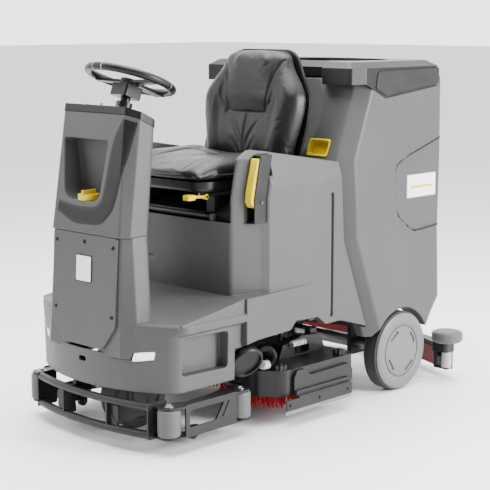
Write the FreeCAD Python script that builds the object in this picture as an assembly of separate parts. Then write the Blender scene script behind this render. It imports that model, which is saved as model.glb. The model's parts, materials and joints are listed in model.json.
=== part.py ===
import FreeCAD, Part
import math
import os

# Ride-on floor scrubber.  Millimetres.  +X is the machine's left, -Y its front, +Z up.
# The origin lies on the floor, in the middle of the machine's bounding box.

V = FreeCAD.Vector
X, Y, Z = V(1, 0, 0), V(0, 1, 0), V(0, 0, 1)
ORIGIN = V(0, 0, 0)

# ------------------------------------------------------------------ driving dimensions
# General fits
running_gap = 0.05          # radial gap between a shaft and its bore
assembly_gap = 0.6          # gap between neighbouring pieces that do not touch
wall = 7.0                  # moulded casing wall

# Body envelope
body_half_width = 383.0
body_front_y = -862.0
body_front_radius = 620.0   # bow of the front, seen from above
body_corner_radius = 60.0
skirt_bottom_z = 205.0
skirt_inset = 22.0          # the skirt stands this far inside the shoulder band
shoulder_low_z = 400.0
shoulder_z = 443.0
shoulder_round = 9.0
floor_rise_z = 490.0        # footwell floor at the foot of the seat box

# Wheels
rear_wheel_radius = 157.5
rear_wheel_width = 73.0
rear_wheel_face_x = 405.0
rear_wheel_y = 433.0
rear_rim_radius = 151.0
rear_hub_radius = 102.0
axle_radius = 16.0
tread_depth = 4.0
tread_groove_width = 4.5
tread_grooves = 4
drive_wheel_radius = 125.0
drive_wheel_width = 88.0
drive_wheel_y = -625.0
drive_axle_radius = 14.0
fork_plate = 10.0
fork_gap = 5.0
steer_spindle_radius = 30.0

# Chassis
rail_inner_x = 145.0
rail_width = 40.0
rail_low_z = 300.0
rail_height = 40.0
chassis_plate_thickness = 10.0

# Bumper
bumper_tube_radius = 14.0
bumper_upper_z = 165.0
bumper_lower_z = 66.0
bumper_bow_y = -851.0
bumper_end_x = 300.0
bumper_end_y = -812.0
bumper_plate = 6.0
roller_radius = 40.0
roller_height = 94.0
roller_low_z = 65.0
roller_bolt_radius = 6.0
front_roller_x = 345.0
front_roller_y = -772.0
side_roller_x = 352.0
side_roller_y = -439.0
side_plate_x = 385.0
guide_wheel_radius = 20.0
guide_wheel_width = 20.0
guide_wheel_x = 300.0
guide_wheel_y = -619.0
guide_wheel_z = 32.0

# Steering tower
tower_seam_z = 728.0
tower_front_seam_y = -838.0
tower_front_lean = 27.0     # the front runs this far forward between the seam and the skirt
tower_foot_z = 320.0
tower_front_half = 170.0
tower_side_half = 200.0
tower_chamfer_y = 34.0
tower_depth_seam = 122.0
tower_top_z = 1137.0
tower_front_top_y = -778.0
tower_top_front_half = 157.0
tower_depth_top = 110.0
dash_thickness = 26.0
dash_drop = 52.0            # the dash falls by this much from its front to its rear edge
pocket_half_top = 118.0
pocket_half_low = 92.0
pocket_centre_x = -32.0
pocket_low_z = 838.0
pocket_high_z = 1050.0
pocket_depth = 88.0
cover_thickness = 9.0
cover_low_z = 338.0
cover_chamfer_z = 423.0
step_depth = 44.0
pocket_floor_y = -790.0
filler_neck_radius = 30.0
knob_x = -88.0
knob_y = -748.0
key_x = 4.0

# Steering wheel
steering_y = -620.0
steering_z = 1246.0
steering_tilt = 20.1        # degrees that the wheel leans towards the driver
steering_rim_radius = 150.0
steering_tube_radius = 14.0
column_radius = 17.0
column_length = 128.0
column_head_low = 66.0
column_head_top = 24.0
column_foot_y = -664.0

# Seat box and consoles
seat_box_front_y = -431.0
seat_box_corner_x = body_half_width - 83.0   # the front corners are cut back in two faces
console_corner_x = body_half_width - 33.0
console_corner_y = -329.0
seat_box_side_y = -280.0
flank_toe = 13.0            # the side wall stands in by this much at its front, above the floor ledge
flank_end_y = -61.0
ledge_rise = 8.0
seat_box_low_z = 343.0
console_bend_z = 832.0
console_top_z = 1000.0
console_lean = 35.0
console_width = 86.0
seat_box_top_z = 748.0
battery_floor_z = 380.0
lever_x = body_half_width - 42.0
lever_half_width = 15.0
lever_face_y = -368.0        # front of the lever's frame, below the console's bend
lever_slot_low_z = 746.0
lever_slot_high_z = 985.0
lever_slot_corner = 1.0
lever_pin_radius = 6.0

# Seat
hood_thickness = 16.0
hood_pivot_y = -417.0
hood_pivot_z = 764.0
seat_rail_z = 832.0
seat_half_width = 245.0
seat_front_y = -528.0
seat_rear_y = -62.0
cushion_low_z = 892.0
cushion_thickness = 76.0
back_half_width = 240.0
back_thickness = 78.0
back_low_z = 945.0
back_top_z = 1338.0
back_lean = 52.0
shell_thickness = 12.0

# Recovery tank and its cover
tank_half_width = 400.0
tank_bevel_y = 57.0
tank_bevel_x = 50.0
tank_rear_y = 690.0
tank_floor_z = 345.0
tank_top_z = 1232.0
tank_wall = 9.0
arch_gap = 16.5             # between the rear tyre and its arch
arch_radius = rear_wheel_radius + arch_gap
arch_inner_x = 318.0
cover_rise = 64.0           # the cover's top above the tank's rim
cover_top_z = tank_top_z + cover_rise
cover_rim_z = tank_top_z + 6.0
cover_skin = 14.0           # the tank is this much narrower where the cover hangs over it
hinge_y = 702.0
hinge_z = tank_top_z + 14.0
grip_x = 256.0
spigot_x = 150.0
spigot_z = 940.0
spigot_radius = 25.0
spigot_length = 46.0

# Brush deck
deck_front_y = -330.0
deck_rear_y = 138.0
deck_half_width = 408.0
deck_top_z = 205.0
deck_plate = 14.0
brush_radius = 195.0
brush_left_x = 193.0
brush_left_y = -118.0
brush_right_x = -200.0
brush_right_y = -104.0
brush_disc_thickness = 16.0
bristle_low_z = 52.0
bristle_height = 62.0
deck_travel = 48.0
side_bar_x = 442.0
side_bar_front_y = -287.0
side_bar_rear_y = 78.0
deck_skirt_low_z = 108.0
deck_lip_low_z = 50.0
brush_shaft_radius = 12.0
motor_radius = 46.0
guide_rod_x = 90.0
guide_rod_y = 60.0
guide_rod_radius = 8.0

# Rear squeegee
squeegee_pivot_y = 560.0
squeegee_pivot_z = 205.0
squeegee_end_x = 440.0
squeegee_end_y = 700.0
squeegee_bow_y = 835.95
squeegee_beam_low_z = 88.0
squeegee_beam_high_z = 130.0
squeegee_beam_half = 24.0
lip_thickness = 5.0
lip_low_z = 34.0
deflector_radius = 62.5
deflector_thickness = 44.0
deflector_x = 449.0
deflector_y = 672.0
deflector_low_z = 163.0
support_roller_radius = 20.0
support_low_z = 56.0

# Fittings
filter_radius = 63.0
filter_x = body_half_width - 31.0
filter_y = -404.0
filter_z = 258.0
pedal_x = 120.0
pedal_y = -560.0


# ------------------------------------------------------------------ geometry helpers
def unit(vector):
    """The vector at length one."""
    return vector.multiply(1.0 / vector.Length) if vector.Length else vector


def rounded_wire(points, radii, place):
    """A closed outline of straight runs joined by tangent arcs, laid out by place(a, b)."""
    flat = [V(a, b, 0) for a, b in points]
    count = len(flat)
    if not isinstance(radii, (list, tuple)):
        radii = [radii] * count
    corners = []
    for index in range(count):
        corner = flat[index]
        before = unit(flat[index - 1] - corner)
        after = unit(flat[(index + 1) % count] - corner)
        radius = radii[index]
        half = before.getAngle(after) / 2.0
        if radius == 0 or half > math.pi / 2.0 - 0.01:
            corners.append((corner, None, corner))
            continue
        reach = radius / math.tan(half)
        inward = unit(before + after)
        centre = corner + inward * (radius / math.sin(half))
        corners.append((corner + before * reach, centre - inward * radius, corner + after * reach))
    edges = []
    for index in range(count):
        start, middle, end = corners[index]
        following = corners[(index + 1) % count][0]
        if middle is not None:
            arc = Part.Arc(place(start.x, start.y), place(middle.x, middle.y), place(end.x, end.y))
            edges.append(arc.toShape())
        if (following - end).Length > 1e-6:
            edges.append(Part.makeLine(place(end.x, end.y), place(following.x, following.y)))
    return Part.Wire(edges)


def prism(points, axis, start, end, radii=0):
    """An outline extruded along x, y or z; its points are (y, z), (x, z) or (x, y)."""
    if axis == "x":
        wire = rounded_wire(points, radii, lambda a, b: V(start, a, b))
        direction = X
    elif axis == "y":
        wire = rounded_wire(points, radii, lambda a, b: V(a, start, b))
        direction = Y
    else:
        wire = rounded_wire(points, radii, lambda a, b: V(a, b, start))
        direction = Z
    return Part.Face(wire).extrude(direction * (end - start))


def block(x0, x1, y0, y1, z0, z1, radius=0, axis="z"):
    """A box between two corners, with its edges along one axis rounded."""
    if axis == "x":
        return prism([(y0, z0), (y1, z0), (y1, z1), (y0, z1)], "x", x0, x1, radius)
    if axis == "y":
        return prism([(x0, z0), (x1, z0), (x1, z1), (x0, z1)], "y", y0, y1, radius)
    return prism([(x0, y0), (x1, y0), (x1, y1), (x0, y1)], "z", z0, z1, radius)


def rod(start, end, radius):
    """A round bar between two points."""
    line = end - start
    return Part.makeCylinder(radius, line.Length, start, line)


def turned(profile, centre, axis):
    """A solid of revolution; profile points are (distance along the axis, radius)."""
    side = V(0, 0, 1) if abs(axis.z) < 0.9 else V(1, 0, 0)
    side = unit(side - axis * side.dot(axis))
    points = [centre + axis * along + side * radius for along, radius in profile]
    face = Part.Face(Part.makePolygon(points + [points[0]]))
    return face.revolve(centre, axis, 360)


def fuse(*shapes):
    """One solid from several that touch."""
    result = shapes[0]
    for shape in shapes[1:]:
        result = result.fuse(shape)
    return result.removeSplitter()


def cut(shape, *tools):
    """A shape with the tools taken out of it."""
    for tool in tools:
        shape = shape.cut(tool)
    return shape


def mirrored(shape):
    """The same shape on the other side of the machine."""
    return shape.mirror(ORIGIN, X)


def both_sides(shape):
    """A piece and its mirror image, as two solids."""
    return Part.Compound([shape, mirrored(shape)])


def loft(wires):
    """A ruled solid through a stack of outlines."""
    return Part.makeLoft(wires, True, True)


def softened(shape, radius, wanted):
    """The shape with a fillet on the edges that wanted(edge) accepts."""
    return shape.makeFillet(radius, [edge for edge in shape.Edges if wanted(edge)])


# ------------------------------------------------------------------ shared outlines
def body_plan(side_inset, front_inset, z, rear_y=seat_box_front_y):
    """Plan outline of the front body: a bowed front, round corners and straight sides."""
    half = body_half_width - side_inset
    radius = body_front_radius
    centre_y = body_front_y + front_inset + radius
    corner = body_corner_radius
    corner_x = half - corner
    corner_y = centre_y - math.sqrt((radius - corner) ** 2 - corner_x ** 2)
    direction = unit(V(corner_x, corner_y - centre_y, 0))
    tangent = V(0, centre_y, z) + direction * radius
    outward = unit(direction + X)
    middle = V(corner_x, corner_y, z) + outward * corner
    nose = Part.Arc(V(-tangent.x, tangent.y, z), V(0, centre_y - radius, z), tangent)
    right = Part.Arc(tangent, middle, V(half, corner_y, z))
    left = Part.Arc(V(-half, corner_y, z), V(-middle.x, middle.y, z), V(-tangent.x, tangent.y, z))
    edges = [
        nose.toShape(),
        right.toShape(),
        Part.makeLine(V(half, corner_y, z), V(half, rear_y, z)),
        Part.makeLine(V(half, rear_y, z), V(-half, rear_y, z)),
        Part.makeLine(V(-half, rear_y, z), V(-half, corner_y, z)),
        left.toShape(),
    ]
    return Part.Wire(edges)


def tower_plan(front_y, front_half, side_half, depth, z, inset=0.0):
    """Plan outline of the steering tower, wider at the driver's side."""
    front = front_y + inset
    rear = front_y + depth - inset
    half = front_half - inset * 0.7
    side = side_half - inset
    shoulder = front_y + tower_chamfer_y
    points = [(-half, front), (half, front), (side, shoulder), (side, rear), (-side, rear), (-side,
              shoulder)]
    return rounded_wire(points, [12, 12, 14, 26, 26, 14], lambda a, b: V(a, b, z))


def line_y(stations, z):
    """The y of a side-view line at height z; stations are (z, y) from low to high."""
    for (z0, y0), (z1, y1) in zip(stations, stations[1:]):
        if z <= z1:
            return y0 + (y1 - y0) * (z - z0) / (z1 - z0)
    return stations[-1][1]


# The joint between the seat box and the tank, in side view, from low to high.
SEAM = [(200.0, 262.0), (296.0, 224.0), (636.0, 91.0), (791.0, 82.0), (933.0, 69.0), (1250.0, 188.0)]
TANK_LEVELS = [296.0, 345.0, 636.0, 791.0, 933.0, 1232.0]
TANK_REAR = [(200.0, 600.0), (296.0, 662.0), (345.0, 700.0), (636.0, 684.0), (1000.0, 690.0),
             (1250.0, 684.0)]


# ------------------------------------------------------------------ front body
def lower_tower(inset):
    """The lower half of the tower, standing on the skirt and ending at the seam."""
    drop = 4.0 if inset else 0.0
    foot_z = tower_foot_z - drop
    front = tower_front_seam_y + cover_thickness
    reach = tower_front_lean * (tower_seam_z - foot_z) / (tower_seam_z - skirt_bottom_z)
    foot = tower_plan(front - reach, tower_front_half + 20.0, tower_side_half + 45.0,
                      tower_depth_seam - cover_thickness, foot_z, inset)
    seam = tower_plan(front, tower_front_half + 8.0, tower_side_half,
                      tower_depth_seam - cover_thickness, tower_seam_z + drop, inset)
    return loft([foot, seam])


def skirt_stack(inset, low_z, top_z):
    """The skirt with its shoulder band, as a solid."""
    return loft([
        body_plan(inset + skirt_inset + 6.0, inset + 4.0, low_z),
        body_plan(inset + skirt_inset, inset, shoulder_low_z),
        body_plan(inset, inset, shoulder_low_z + 12.0),
        body_plan(inset, inset, top_z - shoulder_round),
        body_plan(inset + shoulder_round, inset + shoulder_round, top_z),
    ])


def step_recess(grow):
    """The foothold pressed into the skirt on each side."""
    points = [(-722.0 - grow, 262.0 - grow), (-502.0 + grow, 256.0 - grow),
              (-502.0 + grow, 388.0 + grow), (-722.0 - grow, 394.0 + grow)]
    inner_x = body_half_width - skirt_inset - step_depth - grow
    return both_sides(prism(points, "x", inner_x, body_half_width + 20.0, 16.0))


def lamp_outline(grow, front_y, rear_y):
    """The slanted headlamp shape in the front corners."""
    points = [(212 - grow, 308 - grow), (290 + grow, 322 - grow), (296 + grow, 350 + grow),
              (224 - grow, 340 + grow)]
    return both_sides(prism(points, "y", front_y, rear_y, 5.0))


def cover_plate(grow, front_grow=0.0):
    """The removable plate on the front of the tower, or with grow the seat it lies in."""
    half = tower_front_half - 2.0 + grow
    top = tower_seam_z - 2.0 + grow
    low = cover_low_z - grow
    points = [(-half, top), (-half, cover_chamfer_z), (-104.0 - grow * 0.6, low),
              (104.0 + grow * 0.6, low), (half, cover_chamfer_z), (half, top)]
    plate = prism(points, "y", -front_grow, cover_thickness, 8.0)
    slope = math.degrees(math.atan2(tower_front_lean, tower_seam_z - skirt_bottom_z))
    plate.rotate(V(0, 0, tower_seam_z), X, -slope)
    plate.translate(V(0, tower_front_seam_y, 0))
    return plate


def front_body():
    """Skirt, footwell floor and the lower half of the steering tower, open below."""
    outer = skirt_stack(0.0, skirt_bottom_z, shoulder_z)
    floor_start_y = -735.0
    floor_half = body_half_width - shoulder_round
    floor_wedge = prism(
        [(floor_start_y, shoulder_z - 6.0), (seat_box_front_y, shoulder_z - 6.0),
         (seat_box_front_y, floor_rise_z), (floor_start_y, shoulder_z - 1.0)],
        "x", -floor_half, floor_half)
    outer = fuse(outer, floor_wedge, lower_tower(0.0))
    inner = skirt_stack(wall, skirt_bottom_z - 5.0, shoulder_z - wall)
    inner = inner.cut(block(-500, 500, seat_box_front_y - wall, seat_box_front_y + 50, 0, 900))
    shell = cut(outer, inner, lower_tower(wall))
    shell = fuse(shell, step_recess(wall).common(outer))
    hook = block(-19, 19, body_front_y - 5, body_front_y + 20, 283, 301, 8.9, "y")
    rear_clearance = fuse(block(-500, 500, -467.0, 0.0, 0.0, 316.0), block(-330, 330, -460.0, 0.0,
                          0.0, 405.0))
    channel = cover_plate(10.0, 30.0).common(block(-500, 500, -900, -700, 0, tower_seam_z - 180.0))
    lamp_pocket = lamp_outline(assembly_gap, body_front_y - 10.0, body_front_y + 90.0)
    shell = cut(shell, step_recess(0.0), lamp_pocket, hook, rear_clearance,
                cover_plate(assembly_gap, 30.0), channel)
    return fuse(shell, pedal_base())


def headlamps():
    """Clear lamps that follow the bow of the front."""
    blank = lamp_outline(0.0, body_front_y - 10.0, body_front_y + 90.0)
    keep = skirt_stack(3.0, skirt_bottom_z, shoulder_z).cut(skirt_stack(14.0, skirt_bottom_z - 1.0,
            shoulder_z + 1.0))
    return blank.common(keep)


# ------------------------------------------------------------------ steering tower
def tower_solid(inset):
    """The upper tower, from the seam to the dash, before its top is cut to the slope."""
    drop = 4.0 if inset else 0.0
    seam = tower_plan(tower_front_seam_y, tower_front_half + 8.0, tower_side_half,
                      tower_depth_seam, tower_seam_z + assembly_gap - drop, inset)
    top = tower_plan(tower_front_top_y, tower_top_front_half, tower_side_half - 2.0,
                     tower_depth_top, tower_top_z + 60.0, inset)
    return loft([seam, top])


def dash_wedge(low_offset, high_offset):
    """The slab between two sloping planes above the tower's top edge."""
    slope = dash_drop / tower_depth_top
    front, rear = -900.0, -500.0
    front_z = tower_top_z + (tower_front_top_y - front) * slope
    rear_z = tower_top_z + (tower_front_top_y - rear) * slope
    points = [(front, front_z + low_offset), (rear, rear_z + low_offset),
              (rear, rear_z + high_offset), (front, front_z + high_offset)]
    return prism(points, "x", -400, 400)


def pocket_shape(grow):
    """The scooped pocket in the tower's front, round at its foot."""
    centre = pocket_centre_x
    points = [(centre - pocket_half_low - grow, pocket_low_z - grow),
              (centre + pocket_half_low + grow, pocket_low_z - grow),
              (centre + pocket_half_top + grow, pocket_high_z + grow),
              (centre - pocket_half_top - grow, pocket_high_z + grow)]
    return prism(points, "y", -900.0, tower_front_seam_y + pocket_depth + grow + 12.0, [46.0, 46.0,
                 12.0, 12.0])


def tower_shell():
    """The upper tower: a moulded shell with the filler pocket."""
    outer = tower_solid(0.0).cut(dash_wedge(-1.0, 400.0))
    inner = tower_solid(wall)
    shell = outer.cut(inner)
    liner = pocket_shape(wall * 0.6).common(outer)
    shell = fuse(shell, liner)
    neck = rod(V(pocket_centre_x, pocket_floor_y, pocket_low_z - 20.0),
               V(pocket_centre_x, pocket_floor_y, pocket_low_z + 20.0), filler_neck_radius + 1.0)
    return cut(shell, pocket_shape(0.0), neck)


def dash_panel():
    """The sloping instrument panel that caps the tower."""
    outer = tower_solid(-1.5).common(dash_wedge(0.0, dash_thickness))
    well = block(-118.0, -60.0, -770.0, -724.0, 0, 1400,
                 8.0).common(dash_wedge(dash_thickness - 9.0, 200.0))
    column_hole = rod(dash_point(0.0, column_foot_y, -60.0), dash_point(0.0, column_foot_y, 120.0),
                      column_radius + 1.0)
    knob_hole = rod(dash_point(knob_x, knob_y, dash_thickness - 14.0), dash_point(knob_x, knob_y,
                    80.0), 4.0 + running_gap)
    key_slot = block(key_x - 8.0 - running_gap * 4, key_x + 8.0 + running_gap * 4, -758.0, -754.0,
                     0, 1400).common(
        dash_wedge(dash_thickness - 16.0, 200.0))
    return cut(outer, well, column_hole, knob_hole, key_slot)


def dash_point(x, y, height):
    """A point above the dash's lower plane, measured square to the plane."""
    slope = math.atan2(dash_drop, tower_depth_top)
    z = tower_top_z + (tower_front_top_y - y) * math.tan(slope)
    normal = V(0, math.sin(slope), math.cos(slope))
    return V(x, y, z) + normal * (height - 0.0)


def selector_knob():
    """The programme knob on the dash, with its spindle."""
    low = dash_point(knob_x, knob_y, dash_thickness - 12.0)
    seat = dash_point(knob_x, knob_y, dash_thickness * 0.905 + 1.0)
    top = dash_point(knob_x, knob_y, dash_thickness * 0.905 + 15.0)
    return fuse(rod(low, seat, 4.0), rod(seat, top, 13.0))


def control_key():
    """The flat key that stands in the dash."""
    return block(key_x - 8.0, key_x + 8.0, -757.6, -754.4, tower_top_z + 2.0, tower_top_z + 34.0,
                 1.2, "z")


def filler_cap():
    """The screw cap on the fresh-water filler, in the floor of the pocket."""
    low = V(pocket_centre_x, pocket_floor_y, pocket_low_z - 12.0)
    seat = V(pocket_centre_x, pocket_floor_y, pocket_low_z + 0.6)
    top = V(pocket_centre_x, pocket_floor_y, pocket_low_z + 20.0)
    grip = block(pocket_centre_x - 6, pocket_centre_x + 6, pocket_floor_y - 30, pocket_floor_y + 30,
                 pocket_low_z + 19.0, pocket_low_z + 34.0, 4.0)
    return fuse(rod(low, seat, filler_neck_radius), rod(seat, top, filler_neck_radius + 8.0), grip)


# ------------------------------------------------------------------ steering wheel
def column_point(along, side=0.0):
    """A point on the steering axis, measured down from the wheel's centre."""
    tilt = math.radians(steering_tilt)
    return V(side, steering_y, steering_z) + V(0, math.sin(tilt), math.cos(tilt)) * -along


def on_column(shape):
    """A shape made about the origin, moved to the steering axis."""
    moved = shape.copy()
    moved.rotate(ORIGIN, X, -steering_tilt)
    moved.translate(V(0, steering_y, steering_z))
    return moved


def steering_column():
    """Foot, post and the box head below the wheel."""
    post = rod(V(0, 0, -column_length), V(0, 0, -column_head_low), column_radius)
    collar = rod(V(0, 0, -column_length + 24.0), V(0, 0, -column_length + 44.0), column_radius + 12.0)
    head = block(-42, 42, -44, 34, -column_head_low - 1.0, -column_head_top, 10.0)
    bore = rod(V(0, 0, -column_head_top - 30.0), V(0, 0, 10), 9.0 + running_gap)
    return on_column(fuse(post, collar, head).cut(bore))


def steering_wheel():
    """Rim, three spokes, hub and the short spindle."""
    rim = Part.makeTorus(steering_rim_radius, steering_tube_radius)
    hub = rod(V(0, 0, -column_head_top + 0.8), V(0, 0, -2.0), 34.0)
    spindle = rod(V(0, 0, -column_head_top - 28.0), V(0, 0, -column_head_top + 2.0), 9.0)
    shape = fuse(rim, hub, spindle)
    for angle, half in [(-8.0, 13.0), (188.0, 13.0), (90.0, 24.0)]:
        spoke = prism([(20.0, -half * 1.3), (steering_rim_radius, -half), (steering_rim_radius, half),
                       (20.0, half * 1.3)], "z", -16.0, -6.0)
        spoke.rotate(ORIGIN, Z, angle)
        shape = fuse(shape, spoke)
    return on_column(shape)


# ------------------------------------------------------------------ seat box
def box_plan(z, shift, side_inset=0.0):
    """Plan outline of the seat box at one height, its front corners cut back in two faces."""
    half = body_half_width - side_inset
    corner_x = console_corner_x - side_inset
    front = [(seat_box_corner_x - side_inset, seat_box_front_y + shift), (corner_x,
             console_corner_y + shift),
             (half, seat_box_side_y + shift), (half, 300.0)]
    points = [(-x, y) for x, y in reversed(front)] + front
    return rounded_wire(points, [0, 24, 14, 22, 22, 14, 24, 0], lambda a, b: V(a, b, z))


def flank_cut():
    """What the side walls lose above the floor ledge, where they stand in towards the front."""
    reach = seat_box_front_y - 20.0
    slope = flank_toe / (flank_end_y - seat_box_side_y)
    front_x = body_half_width - slope * (flank_end_y - reach)
    outside = prism([(body_half_width, flank_end_y), (front_x, reach), (500.0, reach), (500.0,
                    flank_end_y)],
                    "z", floor_rise_z, 1200.0)
    above = prism(ledge_line() + [(flank_end_y, 1200.0), (seat_box_front_y, 1200.0)], "x", 0.0, 500.0)
    return both_sides(outside.common(above))


def ledge_line():
    """Side view of the floor's outer ledge, from the footwell back to its upturned end."""
    return [(seat_box_front_y, floor_rise_z), (flank_end_y - 50.0, floor_rise_z + ledge_rise),
            (flank_end_y, floor_rise_z + ledge_rise + 21.0)]


def upper_flank_cut():
    """The plane that slopes the top of each side wall inwards above its crease."""
    front, rear = V(body_half_width, -275.0, 824.0), V(body_half_width, 64.0, 886.0)
    ridge = V(body_half_width - 34.0, -260.0, 965.0)
    along = unit(rear - front)
    outward = unit(along.cross(ridge - front))
    if outward.x < 0:
        outward = outward * -1.0
    up = along.cross(outward)
    if up.z < 0:
        up = up * -1.0
    corners = [front + along * a + up * b for a, b in ((-300, -40), (700, -40), (700, 400), (-300, 400))]
    face = Part.Face(Part.makePolygon(corners + [corners[0]]))
    return both_sides(face.extrude(outward * 200.0))


def seat_box():
    """Side walls with the two consoles, around an open battery well."""
    low = loft([box_plan(seat_box_low_z - 60.0, 0.0), box_plan(console_bend_z, 0.0)])
    high = loft([box_plan(console_bend_z, 0.0), box_plan(console_top_z - 30.0, console_lean * 0.82),
                 box_plan(console_top_z, console_lean + 12.0, 20.0)])
    band = prism([(seat_box_front_y, 200.0)] + ledge_line() + [(flank_end_y, 200.0)],
                 "x", -body_half_width, body_half_width)
    solid = fuse(low, high, band)
    top_cut = prism([(-700, 1100), (-700, 1046), (-331, 1001), (69, 934), (400, 900), (400, 1100)],
                    "x", -500, 500)
    arch = [(-500, 100), (-500, 316), (-376, 336), (-202, 343), (-175, 373), (-53, 368), (-8, 334),
            (79, 336), (226, 290), (226, 100)]
    under = prism(arch, "x", -500, 500, [0, 0, 30, 20, 12, 12, 20, 20, 0, 0])
    seam_points = [(y, z) for z, y in SEAM[:-1]] + [(69.0, 1200.0), (600.0, 1200.0), (600.0, 200.0)]
    behind = prism(seam_points, "x", -500, 500)
    inner_half = body_half_width - console_width
    footwell = block(-inner_half, inner_half, -600, 400, seat_box_top_z, 1200)
    well = block(-inner_half + wall, inner_half - wall, seat_box_front_y + wall, 400,
                 battery_floor_z, 1200)
    console_hollow = both_sides(block(inner_half + wall, console_corner_x - 2.0, -278.0, 400, 200, 905, 12.0, "y"))
    band_hollow = both_sides(block(inner_half + wall, body_half_width - wall,
                             seat_box_front_y + wall, -278.0,
                                   200, floor_rise_z - 12.0, 10.0, "y"))
    groove = both_sides(block(body_half_width - 6.0, body_half_width + 20, 14.0, 32.0, 356.0, 826.0,
                        8.9, "x"))
    rail_room = block(-inner_half, inner_half, -500.0, 400, 200, rail_low_z + rail_height + 2.0)
    rear_open = block(-inner_half + wall, inner_half - wall, 0.0, 400, 300, battery_floor_z + 1.0)
    slot_half = lever_half_width + 5.0
    slot = block(lever_x - slot_half, lever_x + slot_half, -500.0, lever_face_y + 88.0,
                 lever_slot_low_z, lever_slot_high_z, lever_slot_corner, "y")
    front_wall_slot = block(-150.0, -96.0, seat_box_front_y - 20.0, seat_box_front_y + 3.0, 575.0, 592.0)
    shell = cut(solid, top_cut, under, behind, footwell, well, console_hollow, band_hollow, groove,
                rear_open,
                rail_room, slot, front_wall_slot, flank_cut(), upper_flank_cut())
    pin = rod(lever_pivot() - X * (slot_half + 3.0), lever_pivot() + X * (slot_half + 3.0),
              lever_pin_radius)
    return fuse(shell, pin, hood_hinge())


def console_face_y(z):
    """The y of the lever frame's front, upright below the console's bend and leaning back above it."""
    rise = console_top_z - 30.0 - console_bend_z
    return lever_face_y + max(0.0, z - console_bend_z) * console_lean * 0.82 / rise


def squeegee_lever():
    """The yellow lever that raises the squeegee, pivoted inside the left console."""
    top_z = lever_slot_high_z - 12.0
    low_z = console_bend_z - 30.0
    face_top, face_low = console_face_y(top_z), console_face_y(low_z)
    blade = prism([(face_top - 12.0, top_z), (face_top + 26.0, top_z), (face_low + 50.0, low_z + 30.0),
                   (face_low + 40.0, low_z), (face_low - 2.0, low_z), (face_low - 16.0, low_z + 20.0),
                   (face_low - 12.0, low_z + 56.0)],
                  "x", lever_x - lever_half_width, lever_x + lever_half_width, [8, 8, 12, 12, 8, 10, 30])
    centre = lever_pivot()
    return blade.cut(rod(centre - X * 30.0, centre + X * 30.0, lever_pin_radius + running_gap))


def lever_pivot():
    """Centre of the lever's pivot, low in its slot."""
    low_z = console_bend_z - 30.0
    return V(lever_x, console_face_y(low_z) + 33.0, low_z + 17.0)


def bezel_strip(half, end_gap, proud, depth):
    """A strip as wide as the lever's slot that follows the console's front face."""
    low, bend, high = lever_slot_low_z + end_gap, console_bend_z, lever_slot_high_z - end_gap
    points = [(console_face_y(low) - proud, low), (console_face_y(bend) - proud, bend),
              (console_face_y(high) - proud, high), (console_face_y(high) + depth, high),
              (console_face_y(bend) + depth, bend), (console_face_y(low) + depth, low)]
    return prism(points, "x", lever_x - half, lever_x + half)


def lever_bezel():
    """The dark frame that lines the lever's slot."""
    outside = bezel_strip(lever_half_width + 4.4, 0.6, 2.0, 56.0)
    hollow = bezel_strip(lever_half_width + 0.8, 4.0, 10.0, 70.0)
    pin_room = rod(lever_pivot() - X * 40.0, lever_pivot() + X * 40.0, lever_pin_radius + assembly_gap)
    return cut(outside, hollow, pin_room)


# ------------------------------------------------------------------ seat
def seat_hood():
    """The lid of the battery well, which carries the seat; its lugs turn on the front pin."""
    half = body_half_width - console_width - 3.0
    front = hood_pivot_y + 14.0
    plate = block(-half, half, front, 44.0, seat_box_top_z + 2.0,
                  seat_box_top_z + 2.0 + hood_thickness, 14.0)
    rim = plate.cut(block(-half + 8, half - 8, front + 8, 36.0, seat_box_top_z + 2.0,
                    seat_box_top_z + 10.0, 8.0))
    lugs = []
    for x in (-180.0, 180.0):
        lug = block(x - 12, x + 12, hood_pivot_y - 9.0, front + 20.0, hood_pivot_z - 9.0,
                    hood_pivot_z + 9.0, 8.9, "x")
        lugs.append(lug.cut(rod(V(x - 20, hood_pivot_y, hood_pivot_z), V(x + 20, hood_pivot_y,
                    hood_pivot_z),
                                6.0 + running_gap)))
    stands = []
    for x in (-170.0, 170.0):
        stands.append(block(x - 20, x + 20, -440.0 + 40.0, -60.0,
                      seat_box_top_z + 2.0 + hood_thickness - 1.0,
                            seat_rail_z, 4.0))
    return fuse(rim, *lugs, *stands)


def hood_hinge():
    """Two fixed brackets and the pin that the seat hood tips on."""
    pin = rod(V(-206, hood_pivot_y, hood_pivot_z), V(206, hood_pivot_y, hood_pivot_z), 6.0)
    shape = pin
    for x in (-200.0, 200.0):
        shape = shape.fuse(block(x - 6, x + 6, hood_pivot_y - 9.0, hood_pivot_y + 9.0,
                           seat_box_top_z - 2.0,
                                 hood_pivot_z + 9.0, 6.0, "x"))
    return shape.removeSplitter()


def seat_rails():
    """The two fixed lower rails under the seat."""
    rail = block(154.0, 186.0, -445.0, -75.0, seat_rail_z + 0.02, seat_rail_z + 12.0, 3.0)
    lip = block(160.0, 180.0, -445.0, -75.0, seat_rail_z + 10.0, seat_rail_z + 20.0)
    return both_sides(fuse(rail, lip))


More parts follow.
